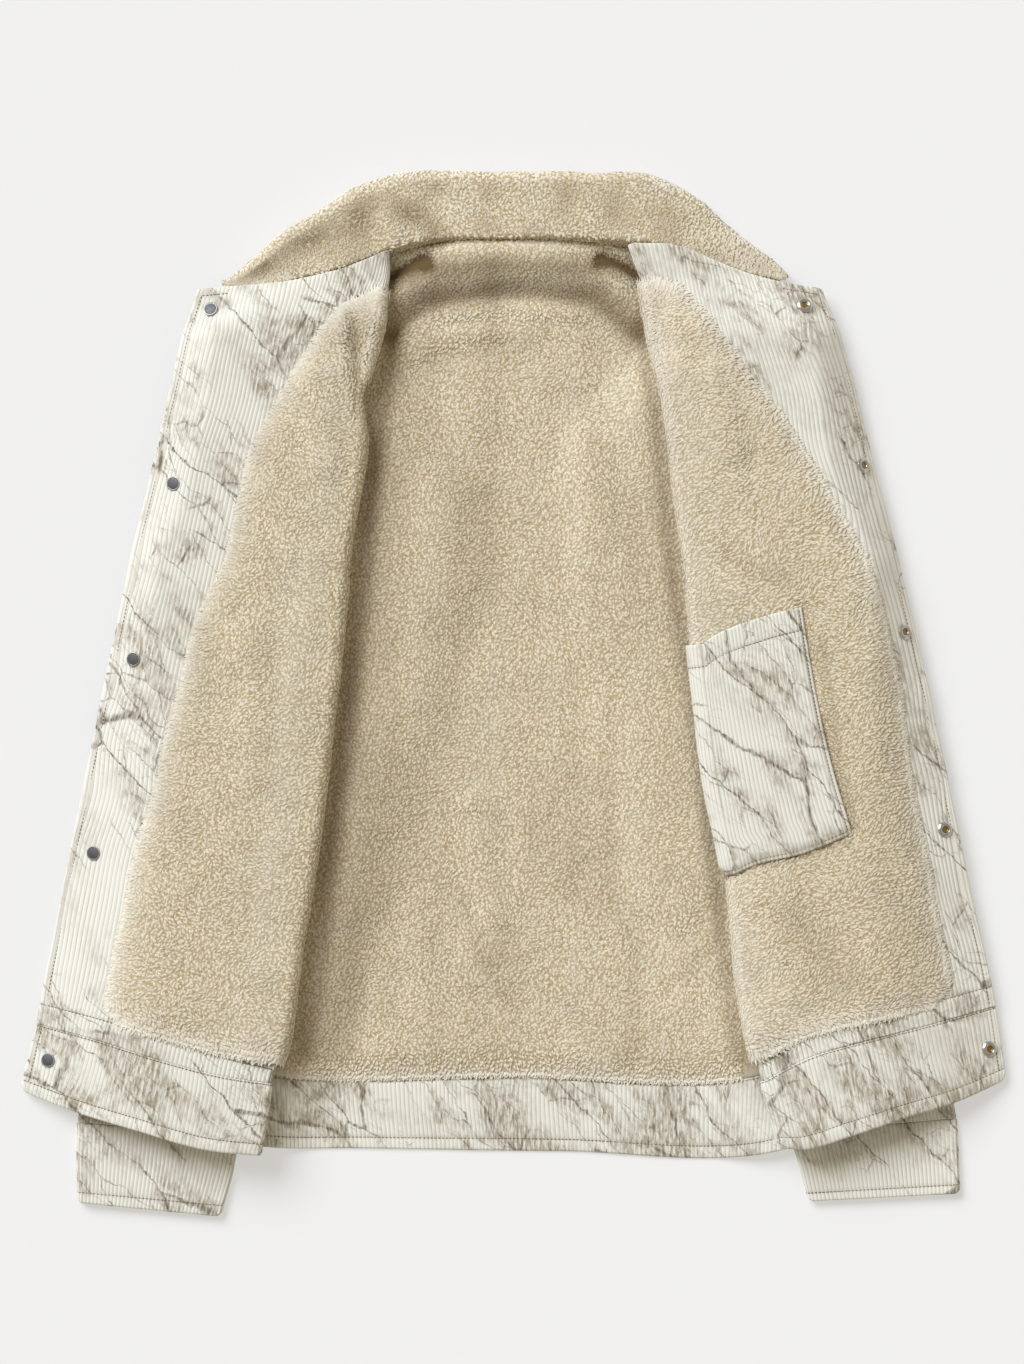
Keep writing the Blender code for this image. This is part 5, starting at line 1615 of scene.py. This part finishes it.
# %% Tubes
def tube_surface(stations, height):
    """point(t, v, lift) on a flattened tube: t goes once round it, v along it."""
    rows = np.array(stations, float)
    share = np.linspace(0, 1, len(rows))
    radius = height / 2

    def point(t, v, lift):
        outer_x, outer_y, inner_x, inner_y = (np.interp(v, share, rows[:, k]) for k in range(4))
        outer, inner = stacked(outer_x, outer_y), stacked(inner_x, inner_y)
        swap = (outer_x > inner_x)[..., None]
        left, right = np.where(swap, inner, outer), np.where(swap, outer, inner)
        width = np.linalg.norm(right - left, axis=-1)
        flat, turn = width - height, math.pi * radius
        s = t * (2 * flat + 2 * turn)
        parts = [s < flat, s < flat + turn, s < 2 * flat + turn]
        angle = np.select(parts, [math.pi / 2, math.pi / 2 + (s - flat) / radius, 1.5 * math.pi],
                          1.5 * math.pi + (s - 2 * flat - turn) / radius)
        along = np.select(parts, [flat / 2 - s, -flat / 2, s - flat - turn - flat / 2], flat / 2)
        reach = radius + lift
        side = unit(right - left)
        plan = (left + right) / 2 + side * (along + reach * np.cos(angle))[..., None]
        spots = raised(plan, radius + reach * np.sin(angle))
        return spots, raised(side * np.cos(angle)[..., None], np.sin(angle))

    return point


cuff_points = {name: tube_surface(CUFFS[name], CUFF_HEIGHT) for name in CUFFS}
middle_spot, _ = cuff_points["left"](np.array([0.25]), np.array([0.5]), np.array([0.0]))
print("left cuff, halfway:", middle_spot.round(1))

# %% The sleeves' and cuffs' cloth
CUFF_STITCH = 7.5
CUFF_WALES, SLEEVE_WALES = 81, 100
SLEEVE_LENGTH = 560.0
CUFF_LENGTH = 56.0
CUFF_ROWS = np.array([0.0, 0.25, 0.8, 1.6, 4.0, 6.4, 7.5, 8.6, 11.0, 16.0, 23.0, 31.0, 40.0, 48.0,
                      53.0, 54.7, 55.5, 56.0])


def cuff_piece(name, seed):
    """A cuff: a tube with a round hem at its open end."""
    around = CUFF_WALES * WALE
    across, from_end = np.meshgrid(np.linspace(0, around, CUFF_WALES * 4 + 1), CUFF_ROWS)
    sewn = pressed_lines(from_end - CUFF_STITCH, np.full(across.shape, 9.0))
    relief = wale_relief(across, sewn) + turned_edge(from_end, 1.4)
    relief = relief + turned_edge(CUFF_LENGTH - from_end, 0.9)
    relief = relief + 0.4 * soft_noise(across, from_end, 26.0, seed) * np.sin(
        math.pi * across / around)
    turn = math.pi * CUFF_HEIGHT / 2
    ends = (around / 2 - turn / 2, around - turn / 2, -turn / 2)
    to_side = np.min([np.abs(across - end) for end in ends], axis=0)
    end = from_end + end_bend(to_side, CORNER + 2) * np.clip(1 - from_end / 24, 0, 1)
    spots, normals = cuff_points[name](across / around, 1 - end / CUFF_LENGTH, relief - 0.1)
    spots[..., 2] = np.maximum(spots[..., 2], 0.05)
    return cloth_sheet(f"cuff_cloth_{name}", (spots, normals), stacked(across, -from_end), 2.2,
                       corduroy, f"cuff_{name}", {"sewn": sewn})


def sleeve_piece(name):
    """A sleeve: a plain tube from the armhole to its cuff."""
    t, v = np.meshgrid(np.linspace(0, 1, 61), np.linspace(0, 1, 31))
    surface = tube_surface(SLEEVES[name], SLEEVE_HEIGHT)(t, v, np.zeros(t.shape))
    marks = stacked(t * SLEEVE_WALES * WALE, v * SLEEVE_LENGTH)
    return cloth_sheet(f"sleeve_cloth_{name}", surface, marks, SLEEVE_WALL, plain_corduroy,
                       f"sleeve_{name}")


cuffs = both_sides(cuff_piece, (111, 115))
sleeves = {name: sleeve_piece(name) for name in SLEEVES}

# %% [markdown]
# ## The inner pocket
# The patch pocket is sewn on the right front's lining. It starts round the fold's roll, so its
# inner end bends down out of sight, and its outer and lower edges are stitched into the pile.
# Each place on it is found on the front's own surface, so that it bends as the front does.

# %% Pocket
POCKET_HEM_STITCH = 16.5
POCKET_STITCH = 3.0
POCKET_DIP = 2.4  # its stitched edges sink this far into the pile
POCKET_WIDTH, POCKET_DEPTH = 92.0, 172.0


def pocket_places(outward, down, relief):
    """Places on the pocket's top. outward is below 0 on the fold's roll, down runs 0 to 1."""
    rows = down[:, 0]
    trial = np.linspace(0.0, 1.0, 24)
    trial_out, trial_down = np.meshgrid(trial, rows)
    spot = pocket_plan(trial_out, trial_down)
    trial_u, _ = find_on("right", spot[..., 0], spot[..., 1])
    first = np.array([np.interp(0.002, line, trial) for line in trial_u])[:, None]
    spot = pocket_plan(first + (1 - first) * np.clip(outward, 0, 1), down)
    u, v = find_on("right", spot[..., 0], spot[..., 1])
    q = np.where(outward < 0, 1 + outward * POCKET_WRAP, 1 + np.maximum(u, 0.0))
    return front_points["right"](q, v, POCKET_LIFT + POCKET_CLOTH + relief)


wrap_length = POCKET_WRAP * math.pi * (POCKET_LIFT + POCKET_CLOTH)
outward = np.concatenate([
    1 - wale_places(POCKET_WIDTH) / POCKET_WIDTH,
    np.linspace(0.0, -1.0, int(wrap_length / QUARTER) + 1)])
from_top = np.concatenate([[0.0, 0.3, 1.0, 2.5, 8.0, 14.0, 15.6, 16.5, 17.4, 20.0],
                           np.arange(28.0, 160.0, 8.0), [163.0, 166.5, 169.0, 170.7, 171.7, 172.0]])
outward, from_top = np.meshgrid(outward, from_top)
across = np.where(outward > 0, (1 - outward) * POCKET_WIDTH, POCKET_WIDTH - outward * wrap_length)
from_foot = POCKET_DEPTH - from_top
sewn = pressed_lines(across - POCKET_STITCH, from_foot - POCKET_STITCH,
                     from_top - POCKET_HEM_STITCH)
relief = wale_relief(across, sewn) - POCKET_DIP * (1 - ease(across / 8))
relief = relief - POCKET_DIP * (1 - ease(from_foot / 8))
relief = relief + turned_edge(across, 0.9) + turned_edge(from_foot, 0.9)
relief = relief + turned_edge(from_top, 0.9) + 0.5 * soft_noise(across, from_top, 36.0, 121)
pocket = cloth_sheet("pocket", pocket_places(outward, from_top / POCKET_DEPTH, relief - 0.2),
                     stacked(across, from_top), 1.0, corduroy, "inner_pocket",
                     {"sewn": sewn})

# %% [markdown]
# ## Snaps
# Each snap has two halves: a smooth cap on the left placket, and a ring with a brass hole on
# the right one. Each takes its middle and its axis from its own solid. It could be built up from
# cylinders, but a profile spun about the axis gives its dome, rim and groove in one go.

# %% Snap metal
def metal_finish(name, colour, roughness):
    """Worn metal: its gloss varies a little from place to place."""
    finish, tree, shader = new_finish(name, Base_Color=colour, Metallic=1.0)
    wear = ramp(noise(object_place(tree), 900.0, 3.0), 0.3, 0.7)
    fill_inputs(shader, Roughness=times_plus(wear, 0.12, roughness))
    return finish


METALS = {
    "pewter": metal_finish("pewter", (0.36, 0.36, 0.36), 0.36),
    "pewter face": metal_finish("pewter face", (0.125, 0.122, 0.12), 0.50),
    "silver": metal_finish("silver", (0.56, 0.55, 0.53), 0.22),
    "brass": metal_finish("brass", (0.36, 0.25, 0.09), 0.34),
}
print("metals:", ", ".join(METALS))

# %% Snap shapes
# columns: radius, height
CAP = [(0, 0), (5.0, 0), (5.35, 0.25), (5.4, 0.8), (5.15, 1.3), (4.85, 1.35), (4.6, 1.05),
       (4.4, 1.02), (4.2, 1.25), (3.9, 1.32), (0, 1.36)]
RING = [(2.6, 0), (5.6, 0), (5.95, 0.25), (5.8, 0.75), (5.2, 1.35), (4.4, 1.75), (3.5, 1.7),
        (2.85, 1.3), (2.6, 0.8)]
HOLE = [(0, 0.02), (2.58, 0.02), (2.58, 0.85), (2.2, 0.95), (1.9, 0.75), (1.75, 0.35), (0, 0.25)]
OUTER = [(0, 0), (6.2, 0), (6.5, 0.3), (6.3, 0.9), (5.4, 1.4), (3.4, 1.8), (0, 2.0)]
CAP_FACE = 4.3  # radius of a cap's dull, flat middle
SNAP_STEPS = 48
# columns: node's name without its number, profile, slot, faces up
SNAP_HALVES = [
    ("snap_stud_left", CAP, "pewter", True), ("snap_socket_right", RING, "silver", True),
    ("snap_outer_left", OUTER, "pewter", False), ("snap_outer_right", OUTER, "pewter", False),
]


def seat_of(node_name, faces_up):
    """The middle of a round solid's base and its axis, from the solid itself."""
    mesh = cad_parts[node_name].data
    points = np.array([vert.co for vert in mesh.vertices])
    middle = points.mean(0)
    axis = np.linalg.svd(points - middle, full_matrices=False)[2][2]
    if (axis[2] > 0) != faces_up:
        axis = -axis
    base = middle + axis * ((points - middle) @ axis).min()
    return Vector(base), Vector(axis)


seat, _ = seat_of("snap_stud_left_1", True)
print("the top left snap sits", round(seat.z / MM, 1), "mm up")

# %% Snaps
def turned(name, profile, slot, base, axis, node=None):
    """A round piece: its profile spun about its axis."""
    spun = bmesh.new()
    verts = [spun.verts.new((r * MM, 0.0, z * MM)) for r, z in profile]
    edges = [spun.edges.new(pair) for pair in zip(verts, verts[1:])]
    if profile[0][0] > 0:
        edges.append(spun.edges.new((verts[-1], verts[0])))
    bmesh.ops.spin(spun, geom=verts + edges, cent=(0, 0, 0), axis=(0, 0, 1), angle=math.tau,
                   steps=SNAP_STEPS, use_merge=True)
    bmesh.ops.remove_doubles(spun, verts=spun.verts, dist=0.001 * MM)
    bmesh.ops.recalc_face_normals(spun, faces=spun.faces)
    if profile is CAP:
        for face in spun.faces:
            middle = face.calc_center_median()
            face.material_index = int(middle.xy.length < CAP_FACE * MM and middle.z > 0.5 * MM)
    turn = Vector((0, 0, 1)).rotation_difference(axis).to_matrix().to_4x4()
    bmesh.ops.transform(spun, matrix=Matrix.Translation(base) @ turn, verts=spun.verts)
    mesh = bpy.data.meshes.new(name)
    spun.to_mesh(mesh)
    spun.free()
    mesh.shade_smooth()
    mesh.set_sharp_from_angle(angle=math.radians(24))
    piece = put(name, mesh, METALS[slot], node)
    if profile is CAP:
        mesh.materials.append(METALS["pewter face"])
    return piece


snaps = []
for kind, profile, slot, faces_up in SNAP_HALVES:
    for number in range(1, 6):
        node_name = f"{kind}_{number}"
        base, axis = seat_of(node_name, faces_up)
        snaps.append(turned(f"turned_{node_name}", profile, slot, base, axis, node_name))
        if kind == "snap_socket_right":
            snaps.append(turned(f"snap_hole_{number}", HOLE, "brass", base, axis))
print("snap pieces:", len(snaps))

# %% [markdown]
# ## Stitches
# A topstitch shows as a row of short dashes, each a bead of thread that dips into the cloth at
# both ends. One bead is a stretched ball of 36 triangles. Every line of stitches is a path on
# the surface that it holds, and the beads are laid along it at an even pitch. A dashed line in
# the finish would be flat, and thread stands up.

# %% Thread and beads
STITCH_LENGTH, STITCH_PITCH = 2.1, 2.8
STITCH_WIDE = {"left": 0.9, "right": 0.65}
STITCH_HIGH = 0.8

thread, tree, shader = new_finish("taupe thread", Roughness=0.85)
twist = noise(object_place(tree), 1800.0, 1.0)
fill_inputs(shader, Base_Color=blend_colour(twist, (0.10, 0.070, 0.040), (0.26, 0.205, 0.135)))
bead = bmesh.new()
bmesh.ops.create_uvsphere(bead, u_segments=6, v_segments=4, radius=0.5)
bmesh.ops.triangulate(bead, faces=bead.faces)
BEAD_POINTS, BEAD_FACES = points_and_faces(bead)


def stitches(name, paths, seed, wide=0.8):
    """Beads of thread along paths. Each path is its places and the normals there."""
    draw = np.random.default_rng(seed)
    middles, ways, ups = [], [], []
    for spots, normals in paths:
        steps = np.linalg.norm(np.diff(spots, axis=0), axis=1)
        lengths = np.concatenate([[0], np.cumsum(steps)])
        count = max(int(lengths[-1] / STITCH_PITCH), 1)
        targets = (np.arange(count) + 0.5) / count * lengths[-1] + draw.normal(0, 0.12, count)

        def read(table, at):
            return stacked(*(np.interp(at, lengths, table[:, k]) for k in range(3)))

        middles.append(read(spots, targets))
        ways.append(unit(read(spots, targets + 1.0) - read(spots, targets - 1.0)))
        ups.append(unit(read(normals, targets)))
    middle, way, up = (np.concatenate(part)[:, None, :] for part in (middles, ways, ups))
    side = np.cross(up, way)
    x, y, z = BEAD_POINTS.T[:, None, :, None]
    points = middle + way * z * STITCH_LENGTH + side * x * wide + up * y * STITCH_HIGH
    print(name + ":", len(middle), "stitches")
    return put(name, copies_mesh(name, points, BEAD_FACES[None]), thread)

# %% Stitch paths on the fronts
def facing_path(name, u, v):
    """A path on a facing's top, at shares u of its width and v of its length."""
    across = (1 - u) * front_width(front_plans[name], v)
    lift = FACING_TOP - CHANNEL_DEPTH + facing_swell(name, across, v)
    return front_points[name](1 + u, v, lift)


def band_path(name, across, from_hem):
    """A path on a front band's top, at distances from its placket and its hem."""
    width = band_widths[name]
    q = np.where(across < width, 2 - across / width, 1 - (across - width) / BAND_ARC)
    swell = band_swell(name, across, from_hem) * ease(q)
    return band_points[name](q, 1 - from_hem / BAND_DEPTH, BAND_TOP - CHANNEL_DEPTH + swell)


def placket_stitches(name):
    """The stitches on a placket, its hem band and the corner at its neck."""
    plan_at = front_plans[name]
    v_head = HEAD_STITCH / FRONT_LENGTH
    v = np.linspace(v_head, 0.996, 200)
    width = front_width(plan_at, v)
    paths = [facing_path(name, 1 - STITCH_IN / width, v)]
    box = BOX_WIDTH[name]
    across = np.linspace(STITCH_IN, box, 30)
    head = np.full(30, v_head)
    paths.append(facing_path(name, 1 - across / front_width(plan_at, head), head))
    if name == "left":
        v = np.linspace(0.001, v_head, 8)
        paths.append(facing_path(name, 1 - box / front_width(plan_at, v), v))
    foot = np.full(60, 1 - FOOT_STITCH / FRONT_LENGTH)
    inner = share_inside(name, foot)[0]
    paths.append(facing_path(name, np.linspace(0.995, inner + 0.02, 60), foot))
    paths.append(band_path(name, np.full(30, STITCH_IN),
                           np.linspace(HEM_STITCH, BAND_DEPTH - 2, 30)))
    for from_hem in BAND_STITCHES:
        across = np.linspace(1.0, band_widths[name] + 7.0, 160)
        paths.append(band_path(name, across, np.full(160, from_hem)))
    return paths

# %% Stitches on the fronts, the back and the cuffs
placket_threads = {
    name: stitches(f"stitches_front_{name}", placket_stitches(name), seed, STITCH_WIDE[name])
    for name, seed in (("left", 131), ("right", 133))}
x = np.linspace(BAND_SHOWN[0] + 4, BAND_SHOWN[1] - 4, 260)
channel = np.full(len(x), -CHANNEL_DEPTH)
back_paths = [back_band_places(x, np.full(len(x), at), channel) for at in BAND_STITCHES]
back_thread = stitches("stitches_back", back_paths, 135)


def cuff_stitches(name, seed):
    """The row of stitches round a cuff's hem."""
    t = np.linspace(0, 1, 300)
    path = cuff_points[name](t, np.full(300, 1 - CUFF_STITCH / CUFF_LENGTH),
                             np.full(300, -CHANNEL_DEPTH - 0.1))
    return stitches(f"stitches_cuff_{name}", [path], seed)


cuff_threads = both_sides(cuff_stitches, (137, 139))

# %% Stitches on the pocket
def pocket_path(across, from_top):
    """A path on the pocket's top, at distances from its outer edge and its mouth."""
    out = np.where(across < POCKET_WIDTH, 1 - across / POCKET_WIDTH,
                   (POCKET_WIDTH - across) / wrap_length)
    dip = POCKET_DIP * (2 - ease(across / 8) - ease((POCKET_DEPTH - from_top) / 8))
    spots, normals = pocket_places(out[:, None], (from_top / POCKET_DEPTH)[:, None],
                                   (-0.2 - CHANNEL_DEPTH - dip)[:, None])
    return spots[:, 0], normals[:, 0]


edge_run = np.linspace(1.5, POCKET_DEPTH - POCKET_STITCH, 60)
foot_run = np.linspace(POCKET_STITCH, POCKET_WIDTH + wrap_length * 0.8, 60)
pocket_thread = stitches("stitches_pocket", [
    pocket_path(np.full(60, POCKET_STITCH), edge_run),
    pocket_path(foot_run, np.full(60, POCKET_DEPTH - POCKET_STITCH)),
    pocket_path(foot_run, np.full(60, POCKET_HEM_STITCH)),
], 141)

# %% [markdown]
# ## The cloth as cut
# Last, a table lists the size each sheet was cut to before it was sewn, so that someone can cut it
# again. Tubes are given all round. The pile and the stitches are listed with the cloth they are on.

FACING_AREA = {"left": 0.054, "right": 0.047}
# columns: piece, width, length, area where the cut isn't a rectangle, what it lies on, with it
SHEETS = [
    (back_shell, 0.532, 0.625, 0.312, ["floor", sleeves["left"], sleeves["right"]], []),
    (back_lining, 0.532, 0.620, 0.308, [back_shell], back_piles),
    (back_band, 0.526, 0.055, None, ["floor", back_shell], [back_thread]),
    (collar_upper, 0.440, 0.105, 0.044, [front_shells["left"], front_shells["right"], back_lining],
     [collar_pile]),
    (collar_under, 0.400, 0.080, 0.030, [collar_upper], []),
    (pocket, 0.118, 0.176, None, [front_linings["right"]], [pocket_thread]),
]
for name in FRONTS:
    SHEETS += [
        (front_shells[name], 0.300, 0.600, 0.165, [back_lining, sleeves[name]], []),
        (front_linings[name], 0.270, 0.570, 0.132, [back_lining, front_shells[name]],
         front_piles[name]),
        (facings[name], 0.184, 0.600, FACING_AREA[name], [front_shells[name]],
         [placket_threads[name]]),
        (front_bands[name], 0.270, 0.055, None, [back_band, cuffs[name]], []),
        (sleeves[name], 0.360, 0.590, 0.191, ["floor"], []),
        (cuffs[name], 0.260, 0.056, None, ["floor"], [cuff_threads[name]]),
    ]
print("sheets:", len(SHEETS))
